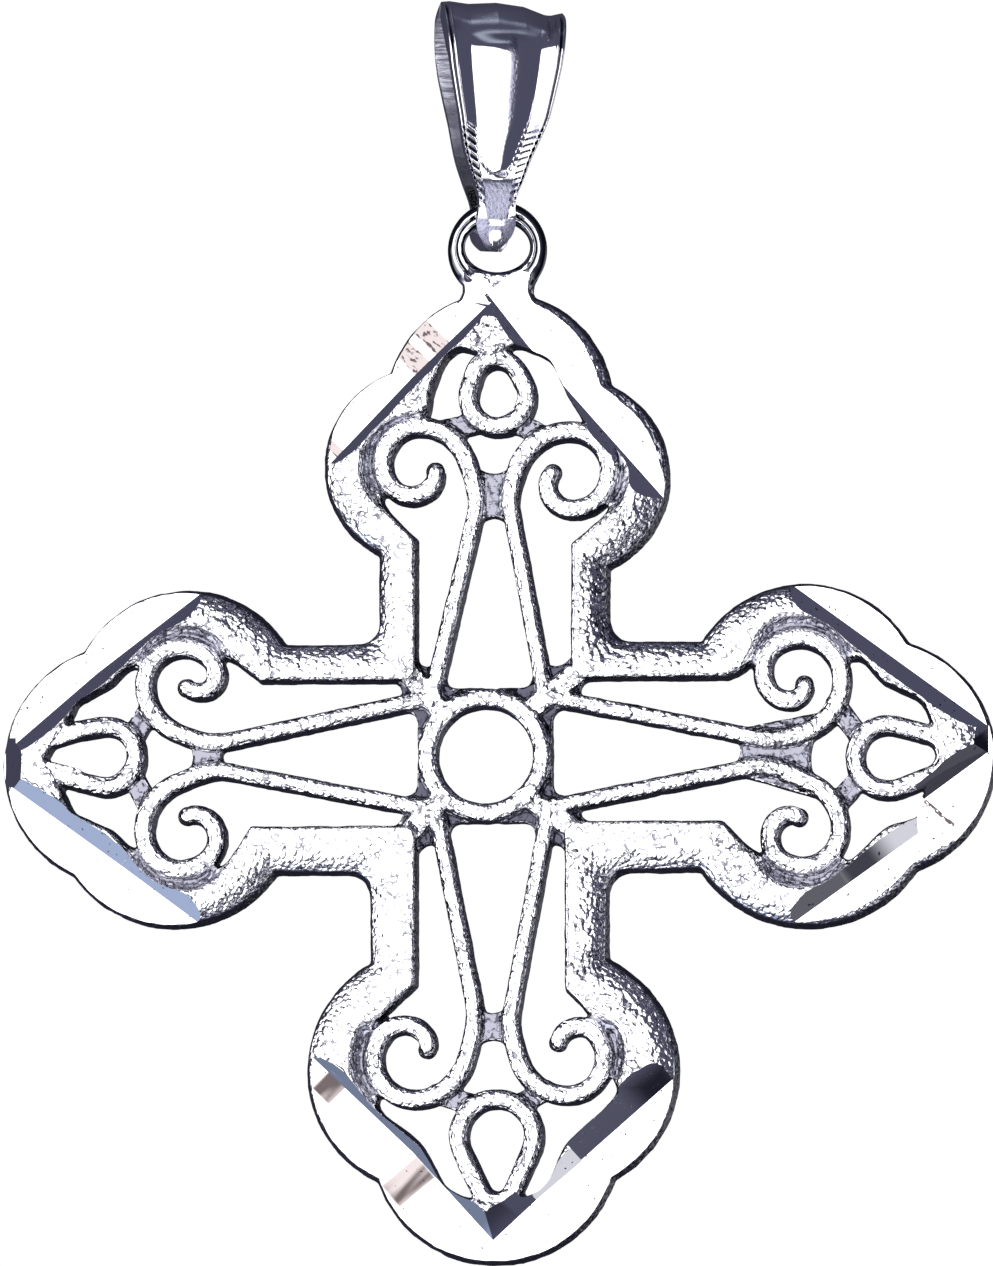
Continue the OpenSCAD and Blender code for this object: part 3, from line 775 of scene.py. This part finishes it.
def hollows(places, normals, edges, rounds):
    """How far each point lies below its neighbours, spread over some rounds of neighbours."""
    a, b = edges.T
    way = places[b] - places[a]
    length = np.linalg.norm(way, axis=1) + 1e-9
    deep = np.zeros(len(places))
    count = np.bincount(edges.ravel(), minlength=len(places)).clip(1)
    np.add.at(deep, a, (way * normals[a]).sum(axis=1) / length)
    np.add.at(deep, b, (-way * normals[b]).sum(axis=1) / length)
    deep /= count
    for _ in range(rounds):
        near = np.zeros(len(places))
        np.add.at(near, a, deep[b])
        np.add.at(near, b, deep[a])
        deep = (deep + near / count) / 2
    return deep


def hollow_share(mesh, rounds, strength):
    return np.clip(hollows(*point_arrays(mesh), rounds) * strength, 0, 1)


print("pieces can be shaded and measured")

# %% Where the cast skin wrinkled: round places on the plan
HUB_WEBS_R = 5
WRINKLED = (
    (0.05, 15.75, 1.1), (-4.75, 9.6, 1.1), (-2.9, 13.6, 0.8), (4.7, 9.1, 1.0), (4.1, 6.8, 1.2),
    (4.1, 4.8, 1.1), (2.5, 2.8, 0.9), (-2.1, -2.3, 1.0), (2.1, -1.8, 0.7), (2.9, -3.7, 0.9),
    (-3.15, 2.7, 0.9), (9.7, 5.75, 1.0), (16.7, 1.5, 0.7), (13.4, 0.6, 0.9), (13.6, -1.4, 0.8),
    (9.7, -3.8, 1.7), (-9.4, -5.25, 1.1), (-9.55, 5.4, 1.0), (-13.3, -0.65, 0.8),
    (-13.2, 0.65, 0.7), (-16.4, -1.5, 0.5), (-4.7, -11.6, 0.9), (4.8, -11.6, 1.0),
    (-1.3, -13.1, 0.7), (1.4, -12.9, 0.7), (3.5, -7.9, 0.8), (0.0, 8.2, 0.9), (0.0, -9.9, 0.9),
    (10.8, 0.0, 1.2))

shade(cross, math.radians(50), flat_slot=cross.data.materials.find("mirror_silver"))
shade(hanging_ring, math.radians(60))
places, normals, _ = point_arrays(cross.data)
x, y, h = places.T
# Painted shade on the low webs between the wires, stronger near the middle; it is kept as the
# number low.
web_shade = (1 - smooth(WEB_H + 0.03, WEB_H + 0.08, h)) * smooth(0.5, 0.9, normals[:, 2])
keep(cross, "steep", 1 - np.abs(normals[:, 2]))
keep(cross, "low", web_shade * mix(0.5, 1, np.hypot(x, y) < HUB_WEBS_R))
keep(cross, "wrinkled", np.max([1 - smooth(0.6 * r, r, np.hypot(x - at_x, y - at_y))
                                for at_x, at_y, r in WRINKLED], axis=0))
# The ring's low number is its painted shade between the ridges.
keep(hanging_ring, "low", shadows)
bright_silver = bpy.data.materials.new("bright_silver")
hanging_ring.data.materials.append(bright_silver)
for piece in (cross, hanging_ring):
    deep = hollow_share(piece.data, rounds=6, strength=12)
    keep(piece, "hollow", deep)
    print(piece.name, "has", round(float(np.mean(deep > 0.5)), 3), "of its points in hollows")
    piece.data.transform(STAND_UP)
    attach(piece, "cross")
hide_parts("cross")

# %% [markdown]
# ## The bail
#
# The bail is a strip of sheet, pressed with a rib and two border lines, then bent round and
# closed at its foot. Its side view is a closed loop, so a table gives height, depth, thickness
# and half width along one leaf, and a smooth curve runs through the rows. The sheet's section
# then travels round the loop. The pressed pattern is far finer than the sheet, so it is worked
# out point by point on a dense grid on the front leaf.

# %% The loop of sheet
SIDE = table(
    "up depth thick half steps",
    (19.68, 0.0, 0.6, 0.22, 8),
    (19.76, 0.55, 0.62, 0.42, 8),
    (20.05, 0.96, 0.58, 0.68, 8),
    (20.4, 1.16, 0.56, 0.76, 8),
    (20.8, 1.3, 0.54, 0.72, 8),
    (21.3, 1.36, 0.52, 0.74, 34),
    (22.2, 1.36, 0.5, 1.06, 66),
    (24.0, 1.5, 0.5, 1.64, 36),
    (26.0, 1.84, 0.5, 2.08, 12),
    (26.7, 1.88, 0.5, 2.2, 8),
    (27.02, 1.8, 0.5, 2.26, 16),
    (27.6, 1.45, 0.5, 2.33, 16),
    (28.15, 0.95, 0.5, 2.38, 16),
    (28.57, 0.45, 0.5, 2.4, 12),
    (28.75, 0.0, 0.5, 2.38, 0))
BAIL_TURN = 10
BAIL_LEAN = 1.2
FOOT_SHIFT = -0.17
BACK_STEPS = 5
BACK_WIDER = 0.04


def on_curve(rows, t):
    """Places on a smooth curve through the rows, where t counts rows."""
    rows = np.asarray(rows, float)
    i = np.minimum(t.astype(int), len(rows) - 2)
    f = (t - i)[:, None]
    a, b = rows[np.maximum(i - 1, 0)], rows[i]
    c, d = rows[i + 1], rows[np.minimum(i + 2, len(rows) - 1)]
    return 0.5 * (2 * b + (c - a) * f + (2 * a - 5 * b + 4 * c - d) * f ** 2
                  + (3 * b - a - 3 * c + d) * f ** 3)


outline, top = [row[:4] for row in SIDE], len(SIDE) - 1
front_t = [i + n / row.steps for i, row in enumerate(SIDE) for n in range(row.steps)] + [top]
front = on_curve(outline, np.array(front_t))
back = on_curve(outline, np.linspace(top, 0, top * BACK_STEPS + 1))[1:-1]
back[:, 3] *= 1 + BACK_WIDER * smooth(28.8, 28.2, back[:, 0])
loop = np.concatenate([front * (1, -1, 1, 1), back])
is_front = np.arange(len(loop)) < len(front)
print("the loop has", len(loop), "stations,", int(is_front.sum()), "of them on the front leaf")

# %% [markdown]
# ## The pressed pattern
#
# Across the front leaf, from its middle to each edge, lie: a low domed rib, a valley whose floor
# climbs to the border, and a border of two fine lines with a groove between them. Near the foot
# the valley and border are chased with slanting rope cuts, and the crown has a short crease. All
# follow from u, the share of the half width, and up, the height; the rope cuts also need the
# half width itself, because their slant is the same in millimetres everywhere.

# %% Height of the pattern over the sheet
RIB_EDGE = 0.60
RIB_H = 0.30
BORDER_FROM = 0.84
VALLEY_H = -0.08
ROPE_PITCH = 0.23
ROPE_H = 0.20
TOP_EDGE = ((-1.0, -0.04), (-0.85, 0.0), (-0.55, -0.08), (-0.1, 0.0), (0.35, -0.12),
            (0.68, -0.4), (0.8, -0.42), (1.0, -0.3))


def bump_line(x, middle, half):
    return np.clip(1 - ((x - middle) / half) ** 2, 0, 1)


def rope(u, up, half):
    across = np.abs(u) * half
    slant = np.where(u < 0, up * 0.85 - across * 0.52, up * 0.95 - across * 0.3)
    ridge = np.abs(np.sin(math.pi * slant / ROPE_PITCH)) - 0.6
    zone = stretch(20.8, 21.2, 23.6, 24.4, up) * stretch(0.60, 0.66, 0.96, 0.99, np.abs(u))
    return ROPE_H * ridge * zone


def pattern(u, up, half):
    a = np.abs(u)
    ends = stretch(21.95, 22.35, 26.7, 27.7, up)
    foot = np.sqrt(np.clip((up - 21.9) / 0.7, 0.02, 1))
    rib = RIB_H * np.clip(1 - (a / (RIB_EDGE * foot)) ** 2, 0, 1) * ends
    climb = 0.22 * np.clip((a - RIB_EDGE) / (BORDER_FROM - RIB_EDGE), 0, 1) ** 1.2
    valley = (VALLEY_H + climb) * stretch(21.6, 22.2, 27.4, 28.0, up)
    lines = 0.09 * bump_line(a, 0.88, 0.035) + 0.08 * bump_line(a, 0.965, 0.03)
    edge = 0.14 - 0.07 * bump_line(a, 0.925, 0.03) + lines
    border = edge * stretch(21.2, 21.8, 28.3, 28.7, up)
    field = np.where(a > BORDER_FROM, border, rib + valley)
    crease = -0.12 * bump_line(u, 0.74, 0.05) * stretch(27.1, 27.5, 28.5, 28.8, up)
    return field + rope(u, up, half) + crease


def top_edge(u, up):
    """How far the uneven top edge of the bail lies below an even one."""
    at, drop = zip(*TOP_EDGE)
    return np.interp(u, at, drop) * smooth(27.3, 28.5, up)


print("the rib stands", pattern(np.array([0.0]), 25.0, 1.8).round(2).tolist(), "mm over the sheet")

# %% [markdown]
# The sheet's edges are rounded, more so at the foot, and a small boss stands out at the closed
# eye. The front leaf isn't bright everywhere: it is frosted where solder was cleaned off, beside
# the eye and along the rib's right side, with two soft hazes higher up.

# %% Rounding and frosting of the front leaf
EYE_UP = 20.03


def rounded_off(u, up, half, in_front):
    """How far the outside lies below the sheet's full thickness."""
    off = 0.08 * smooth(0.975, 1, np.abs(u)) ** 2
    off += 0.12 * (1 - smooth(20.2, 20.8, up)) * np.abs(u) ** 3 * in_front
    eye = 1 - smooth(0.85, 1.0, np.hypot(u * half / 0.30, (up - EYE_UP) / 0.18))
    return off - 0.26 * eye * np.clip((20.21 - up) / 0.36, 0, 1) * in_front


def frosting(u, up, half):
    """From 0, bright, to 1, frosted."""
    across = np.abs(u * half)
    edge = np.interp(up, [20.5, 21.85], [0.36, 0.70])
    solder = stretch(20.5, 20.6, 21.8, 21.95, up) * (1 - smooth(edge - 0.05, edge + 0.05, across))
    spot = smooth(0.9, 1.1, np.hypot(u * half / 0.27, (up - EYE_UP) / 0.17))
    eye = (1 - smooth(20.28, 20.36, up)) * spot
    sides = smooth(0.22, 0.36, across) * (1 - smooth(20.50, 20.60, up))
    middle_haze = 0.35 * np.exp(-((up - 24.3) / 0.8) ** 2 - ((u + 0.25) / 0.3) ** 2)
    flange_haze = 0.5 * np.exp(-((up - 24.0) / 0.7) ** 2 - ((u - 0.78) / 0.12) ** 2)
    rib_edge = 0.6 * np.exp(-((u - 0.12) / 0.08) ** 2) * stretch(23.6, 24.6, 27.1, 27.5, up)
    return np.maximum.reduce([solder, eye, sides, middle_haze, flange_haze, rib_edge])


print("the boss stands out by", -rounded_off(np.zeros(1), EYE_UP, 0.5, 1).round(2)[0], "mm")

# %% Skin the bail
across_out = np.linspace(-1, 1, 201)
across_in = np.linspace(-1, 1, 25)
way = np.roll(loop, -1, axis=0)[:, :2] - np.roll(loop, 1, axis=0)[:, :2]
way /= np.linalg.norm(way, axis=1, keepdims=True)
rings, frost, filed = [], [], []
for (up, depth, thick, half), (d_up, d_depth), in_front in zip(loop, way, is_front):
    out = np.array([-d_up, d_depth])
    raised = pattern(across_out, up, half) if in_front else np.zeros(len(across_out))
    outside = thick / 2 + raised - rounded_off(across_out, up, half, in_front)
    u = np.concatenate([across_in, across_out[::-1]])
    lift = np.concatenate([np.full(len(across_in), -thick / 2), outside[::-1]])
    shift = FOOT_SHIFT * (1 - smooth(22.6, 24.6, up))
    rings.append(np.stack([u * half + shift, depth + out[0] * lift,
                           up + top_edge(u, up) + out[1] * lift], axis=1))
    is_inside = np.arange(len(u)) < len(across_in)
    frost.append(np.where(is_inside, 0, frosting(u, up, half) * in_front))
    filed.append(np.where(is_inside, (not in_front) * smooth(25.0, 25.5, up), 0))

bail = skin("bail_sheet", rings, closed=True)
keep(bail, "frost", np.concatenate(frost))
keep(bail, "filed", np.concatenate(filed))
shade(bail, math.radians(60))
keep(bail, "hollow", hollow_share(bail.data, rounds=3, strength=6))
turn = Matrix.Rotation(math.radians(BAIL_TURN), 4, "Z")
lean = Matrix.Rotation(math.radians(BAIL_LEAN), 4, "Y")
to_hinge = Matrix.Translation((0, 0, -SWING_UP))
bail.data.transform(Matrix.Translation(HINGE) @ lean @ turn @ to_hinge)
bail.data.transform(Matrix.Scale(MM, 4))
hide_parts("bail")
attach(bail, "bail")
print("the bail has", len(bail.data.polygons) * 2, "triangles")

# %% [markdown]
# ## Writing finishes as sums
#
# A finish is mostly arithmetic on patterns, and arithmetic reads best as arithmetic. A small
# class wraps a shader socket so that Python's own signs add the Math nodes. Any other node comes
# from one method, which sets its settings first and then its sockets.

# %% A socket that can be added and multiplied
class Socket:
    """An output socket of a shader tree that Python's sums work on."""

    def __init__(self, finish, out):
        self.finish, self.out = finish, out

    def sum(self, operation, a, b=0.0):
        return self.finish.node("ShaderNodeMath", {"operation": operation}, {0: a, 1: b})

    def __add__(self, other): return self.sum("ADD", self, other)
    def __radd__(self, other): return self.sum("ADD", other, self)
    def __sub__(self, other): return self.sum("SUBTRACT", self, other)
    def __rsub__(self, other): return self.sum("SUBTRACT", other, self)
    def __mul__(self, other): return self.sum("MULTIPLY", self, other)
    def __rmul__(self, other): return self.sum("MULTIPLY", other, self)
    def __truediv__(self, other): return self.sum("DIVIDE", self, other)
    def __pow__(self, other): return self.sum("POWER", self, other)
    def __neg__(self): return self.sum("MULTIPLY", self, -1.0)
    def __abs__(self): return self.sum("ABSOLUTE", self)

    def max(self, other): return self.sum("MAXIMUM", self, other)

    def between(self, low, high):
        """0 at low and 1 at high, with a smooth step from one to the other."""
        return self.finish.node("ShaderNodeMapRange", {"interpolation_type": "SMOOTHSTEP"},
                                {"Value": self, "From Min": low, "From Max": high})


class Finish:
    """A shader tree, and the one way in which nodes are added to it."""

    def __init__(self, owner):
        owner.use_nodes = True
        self.tree = owner.node_tree
        self.main = next(n for n in self.tree.nodes if n.type in ("BSDF_PRINCIPLED", "BACKGROUND"))

    def node(self, kind, settings=None, sockets=None, out=0):
        made = self.tree.nodes.new(kind)
        for name, value in (settings or {}).items():
            setattr(made, name, value)
        self.feed(made, sockets or {})
        return Socket(self, made.outputs[out])

    def feed(self, node, sockets):
        for name, value in sockets.items():
            if isinstance(value, Socket):
                self.tree.links.new(value.out, node.inputs[name])
            else:
                node.inputs[name].default_value = value

    def blend(self, share, a, b):
        """Colour a where the share is 0 and colour b where it is 1."""
        return self.node("ShaderNodeMix", {"data_type": "RGBA"}, {0: share, 6: a, 7: b}, out=2)

    def kept(self, name):
        """A number that was kept with the points of the mesh."""
        return self.node("ShaderNodeAttribute", {"attribute_name": name}, out="Fac")

    def in_mm(self):
        """Places on the piece, in millimetres."""
        raw = self.node("ShaderNodeTexCoord", out="Object")
        return self.node("ShaderNodeVectorMath", {"operation": "SCALE"}, {0: raw, "Scale": 1000.0})

    def parts(self, vector):
        """The x, y and z of a vector, as numbers."""
        split = self.node("ShaderNodeSeparateXYZ", None, {0: vector}).out.node
        return [Socket(self, out) for out in split.outputs]

    def drawn_out(self, where, by):
        """The same places, with each axis multiplied by its own number."""
        return self.node("ShaderNodeVectorMath", {"operation": "MULTIPLY"}, {0: where, 1: by})

    def noise(self, where, scale, detail=2.0, distortion=0.0):
        return self.node("ShaderNodeTexNoise", None, {
            "Vector": where, "Scale": scale, "Detail": detail, "Distortion": distortion})

    def domes(self, where, scale):
        """Rounded grains that touch: high in the middle of each, low where they meet."""
        near = self.node("ShaderNodeTexVoronoi", {"feature": "SMOOTH_F1"},
                         {"Vector": where, "Scale": scale, "Smoothness": 0.2})
        return 1 - near ** 2.0

    def metal(self, colour, roughness, height, deep):
        """Feed the shader of a metal whose surface is uneven by a depth in metres."""
        bump = self.node("ShaderNodeBump", None, {
            "Height": height, "Strength": 1.0, "Distance": deep})
        self.feed(self.main, {
            "Base Color": colour, "Metallic": 1.0, "Roughness": roughness, "Normal": bump})


print("finishes can be written as sums")

# %% [markdown]
# ## Cast silver
#
# Silver that comes out of a plaster mould carries the grain of the mould: touching rounded grains
# a fifth of a millimetre across, with dark creases, specks and, where the skin wrinkled, folds.
# Walls get painted shade, grey to dark, the low webs get painted shade too, and hollows are
# painted darker. The grain is far below the mesh's own size, so it is a bump; the colours
# follow the four numbers that were kept with the mesh.

# %% The casting's finish
SILVER = (0.93, 0.93, 0.95, 1)
SHADE_HOLLOW_PIT_GREY = (0.40, 0.40, 0.47, 1)
WEB_SHADE_AND_HOLLOW_SILVER = (0.075, 0.075, 0.10, 1)
WEB_SHADE_MOTTLE_SILVER = (0.28, 0.28, 0.33, 1)
CREASE_SILVER = (0.13, 0.13, 0.17, 1)
FOLD_AND_WALL_SHADE_SILVER = (0.05, 0.05, 0.07, 1)
WARM_WHITE = (0.43, 0.38, 0.37, 1)
BROWN = (0.09, 0.07, 0.07, 1)
SHADE_NAVY = (0.03, 0.03, 0.05, 1)

cast = Finish(cast_silver)
mm = cast.in_mm()
steep, hollow, low, wrinkled = (cast.kept(name) for name in ("steep", "hollow", "low", "wrinkled"))
sloping = steep.between(0.015, 0.09)
creases = 1 - abs(cast.noise(mm, 2.4, 1.0) - 0.5).between(0.010, 0.024)
creases = creases * cast.noise(mm, 1.3, 1.0).between(0.48, 0.56)
folds = (1 - abs(cast.noise(mm, 3.1, 1.5, 0.4) - 0.5).between(0.020, 0.045)) * wrinkled
specks = cast.noise(mm, 5.5, 1.5).between(0.595, 0.65)
grains = cast.domes(mm, 5.0) * (0.3 + sloping * 0.55)
grains = grains + cast.noise(mm, 4.0, 1.0) * 0.4 + cast.noise(mm, 2.0, 1.0) * 0.5 - creases * 0.25
pits = cast.noise(mm, 5.0, 2.0).between(0.60, 0.72)
# Painted shade: walls are painted grey, hollows are darker, and pits add grey at random.
grey_wall_shade = steep.between(0.35, 0.95)
grey_and_wall_shade = (grey_wall_shade.max(hollow.between(0.15, 0.8)) + pits * 0.35).between(0.0, 1.0)
colour = cast.blend(grey_and_wall_shade, SILVER, SHADE_HOLLOW_PIT_GREY)
colour = cast.blend((creases * 0.85).max(specks * 0.75), colour, CREASE_SILVER)
colour = cast.blend(folds * 0.9, colour, FOLD_AND_WALL_SHADE_SILVER)
# Painted shade on the low webs: a dark grey-blue, mottled with a lighter grey.
mottled_web_shade = cast.blend(cast.noise(mm, 4.0, 3.0).between(0.38, 0.47), WEB_SHADE_AND_HOLLOW_SILVER, WEB_SHADE_MOTTLE_SILVER)
web_shade = cast.blend(low.between(0.6, 0.9), mottled_web_shade, WEB_SHADE_AND_HOLLOW_SILVER)
colour = cast.blend(low.between(0.1, 0.5), colour, web_shade)
# Painted shade: the steepest walls are painted dark.
colour = cast.blend(steep.between(0.55, 0.82), colour, FOLD_AND_WALL_SHADE_SILVER)
cast.metal(colour, 0.16 + grey_and_wall_shade * 0.16 + pits * 0.08, grains, deep=0.00009)
print("cast silver has", len(cast.tree.nodes), "nodes")

# %% [markdown]
# ## Mirror silver
#
# A diamond tool leaves a true mirror, and here and there a patch where it chattered, a row of
# fine cross ridges that catch warm and grey light. Some walls of the cuts are darkened with
# patches of painted shade. The patches lie where they lie on the real piece, so they are masks
# by place.

# %% The cuts' finish
mirror = Finish(mirror_silver)
mm = mirror.in_mm()
east, _, north = mirror.parts(mm)


def patch(x, y, slant, half_long, half_wide, soft=0.2, share=1.0):
    """A slanting oblong round a place on the plan; slant is in degrees."""
    at = STAND_UP @ Vector((x, y, 0)) * 1000
    c, s = math.cos(math.radians(slant)), math.sin(math.radians(slant))
    dx, dz = east - at.x, north - at.z
    a, b = (dx * c + dz * s) / half_long, (dz * c - dx * s) / half_wide
    return (1 - abs(a).max(abs(b)).between(1 - soft, 1.0)) * share


def patches(*rows):
    """Several patches; where they overlap the stronger one counts."""
    together = patch(*rows[0])
    for row in rows[1:]:
        together = together.max(patch(*row))
    return together


def streaks(slant, scale, longer):
    """Noise drawn out along a slanting direction."""
    turned = mirror.node("ShaderNodeVectorRotate", {"rotation_type": "Y_AXIS"},
                         {"Vector": mm, "Angle": math.radians(slant)})
    return mirror.noise(mirror.drawn_out(turned, (1 / longer, 1, 1)), scale)


print("patches and streaks can be laid on the cuts")

# %% The cuts' chatter marks, painted wall shade and colour
facing = -mirror.parts(mirror.node("ShaderNodeTexCoord", out="Normal"))[1]
wall = 1 - facing.between(0.93, 0.97)
floor = 1 - wall
rising, falling = streaks(45, 1.1, 6), streaks(-45, 7.0, 2.5)
top_marks = patches((-2.23, 16.0, -45, 0.95, 0.40), (-2.87, 15.12, -45, 1.0, 0.42),
                    (-5.9, 11.7, -45, 0.5, 0.2))
low_marks = patches((-3.15, -16.25, 40, 1.0, 0.60), (-6.15, -12.65, 45, 0.55, 0.50))
# Patches of painted shade on some of the cuts' walls.
wall_shade_patches = patches((14.1, -4.3, 36, 1.7, 1.3, 0.75, 0.95), (12.3, -5.6, 36, 1.9, 1.3, 0.3, 0.85),
               (17.57, -0.56, 36, 2.2, 0.45, 0.3, 0.93), (6.4, -12.7, 40, 1.5, 1.2, 0.8, 0.85),
               (-3.6, -14.8, -46, 5.5, 1.5, 0.2, 0.55))
dashes = patch(17.1, -2.3, -41, 0.85, 0.09) * falling.between(0.45, 0.5)
dashes = dashes.max(patch(-0.37, -18.75, 45, 0.55, 0.04, share=0.6))
specks = mirror.noise(mm, 6.0, 1.0).between(0.72, 0.76)
colour = SILVER
for marks, brown in ((top_marks, falling.between(0.56, 0.62)),
                     (low_marks, rising.between(0.42, 0.58))):
    colour = mirror.blend(marks * floor, colour, mirror.blend(brown, WARM_WHITE, BROWN))
colour = mirror.blend(specks.max(dashes), colour, BROWN)
# The cuts' walls get their painted shade, in navy.
colour = mirror.blend(wall_shade_patches * wall, colour, SHADE_NAVY)
mirror.metal(colour, 0.05 + top_marks.max(low_marks) * floor * 0.2 + specks * 0.3,
             falling * top_marks + rising * low_marks, deep=0.00001)
print("mirror silver has", len(mirror.tree.nodes), "nodes")

# %% [markdown]
# ## The bail's polish
#
# The bail is bright polished sheet. Where the solder was cleaned off at its foot the surface is
# frosted, and the inside of the back leaf still shows the file's strokes. The masks were kept
# with the mesh when it was made. The hanging ring has the same finish, with painted shade
# between its ridges.

# %% The bail's finish
FROSTED = (0.36, 0.36, 0.46, 1)
FILED_LIGHT, FILED_DARK = (0.64, 0.64, 0.72, 1), (0.30, 0.30, 0.37, 1)
bail.data.materials.append(bright_silver)
bright = Finish(bright_silver)
mm = bright.in_mm()
frost, filed, hollow, low = (bright.kept(name) for name in ("frost", "filed", "hollow", "low"))
strokes = bright.noise(bright.drawn_out(mm, (0.6, 0.6, 4.0)), 1.6, 3.0)
speckle = bright.noise(mm, 9.0, 2.0)
matt = (frost * (0.55 + speckle * 0.9)).max(filed * 0.9)
# Darker in the bail's hollows.
colour = bright.blend(hollow.between(0.2, 0.9), SILVER, WEB_SHADE_AND_HOLLOW_SILVER)
# The hanging ring gets its painted shade between the ridges, in navy.
colour = bright.blend(low, colour, SHADE_NAVY)
colour = bright.blend(frost.between(0.1, 0.6), colour, FROSTED)
filing = bright.blend(strokes.between(0.45, 0.6), FILED_LIGHT, FILED_DARK)
colour = bright.blend(filed, colour, filing)
uneven = speckle * (0.04 + frost * 0.5) + strokes * filed * 2.0 + bright.noise(mm, 1.1, 1.0) * 0.3
bright.metal(colour, 0.07 + matt * 0.38, uneven, deep=0.00005)
print("the bail's polish has", len(bright.tree.nodes), "nodes")

# %% [markdown]
# ## The studio
#
# Silver has no look of its own: it shows what stands round it. The picture was taken against
# plain white, with one broad soft light in front and to the left, and a dim room elsewhere. The
# floor and the backdrop are therefore hidden from reflections, and the world that the metal
# reflects is drawn by direction: a dim blue-grey room and five soft lights. They are a faint one
# overhead, the broad one, a blue one low on the left, a pale one low on the right, and a small
# one behind on the right.

# %% Draw the world that the silver reflects
ROOM_IN_FRONT, ROOM_BEHIND = (0.075, 0.075, 0.12, 1), (0.05, 0.05, 0.08, 1)
world = bpy.data.worlds.new("room")
bpy.context.scene.world = world
room = Finish(world)
looking = room.node("ShaderNodeTexCoord", out="Generated")
x, y, z = room.parts(looking)
side = x.sum("ARCTAN2", x, -y)
up = z.sum("ARCSINE", z)


def soft_light(at_side, at_up, half_side, half_up, soft):
    """A soft-edged oval light; all in degrees, with 0, 0 at the front and + to the right."""
    turned = (side - math.radians(at_side)) * 0.5
    a = turned.sum("SINE", turned) * (2 / math.radians(half_side))
    b = (up - math.radians(at_up)) / math.radians(half_up)
    reach = (a ** 2.0 + b ** 2.0) ** 0.5
    return 1 - reach.between(1 - soft, 1 + soft)


behind = y.between(-0.1, 0.7)
colour = room.blend(behind, ROOM_IN_FRONT, ROOM_BEHIND)
LIGHTS = (
    (0, 90, 360, 9, 0.8, (0.35, 0.38, 0.48, 1)),
    (-38, -10, 63, 60, 0.06, (2.2, 2.2, 2.25, 1)),
    (-110, -50, 34, 26, 0.2, (0.38, 0.46, 0.66, 1)),
    (85, -50, 30, 22, 0.6, (0.8, 0.8, 0.86, 1)),
    (140, -8, 18, 16, 0.4, (1.1, 1.1, 1.15, 1)))
for *oval, light in LIGHTS:
    colour = room.blend(soft_light(*oval), colour, light)
room.feed(room.main, {"Color": colour, "Strength": 1.0})
print("the room has", len(LIGHTS), "soft lights")

# %% [markdown]
# The floor is a plain pale disc under the pendant, and the backdrop a great white ball round
# everything. Both shine on their own, so they come out pale from every side, and neither is seen
# in the silver. The floor is clear from below, so that a view from there isn't blocked.

# %% Floor and backdrop
FLOOR_UP = -60
BLACK, WHITE = (0, 0, 0, 1), (1, 1, 1, 1)


def stage_piece(name, build, clear_from_below=False):
    made = new_object(name)
    with editing(made) as shape:
        build(shape)
    paper = bpy.data.materials.new(name)
    made.data.materials.append(paper)
    finish = Finish(paper)
    finish.feed(finish.main, {"Base Color": BLACK, "Roughness": 1.0, "Emission Color": WHITE,
                              "Emission Strength": 1.0})
    if clear_from_below:
        under_side = finish.node("ShaderNodeNewGeometry", out="Backfacing")
        finish.feed(finish.main, {"Alpha": 1 - under_side})
    for ray in ("glossy", "diffuse", "shadow", "transmission"):
        setattr(made, f"visible_{ray}", False)
    return made


def disc(shape):
    bmesh.ops.create_circle(shape, cap_ends=True, segments=96, radius=0.6)
    bmesh.ops.translate(shape, vec=(0, 0, FLOOR_UP * MM), verts=shape.verts)


def sphere(shape):
    bmesh.ops.create_uvsphere(shape, u_segments=64, v_segments=32, radius=1.2)


stage_piece("floor", disc, clear_from_below=True)
stage_piece("backdrop", sphere)
bpy.context.scene.view_settings.view_transform = "Standard"
print("floor and backdrop are set")
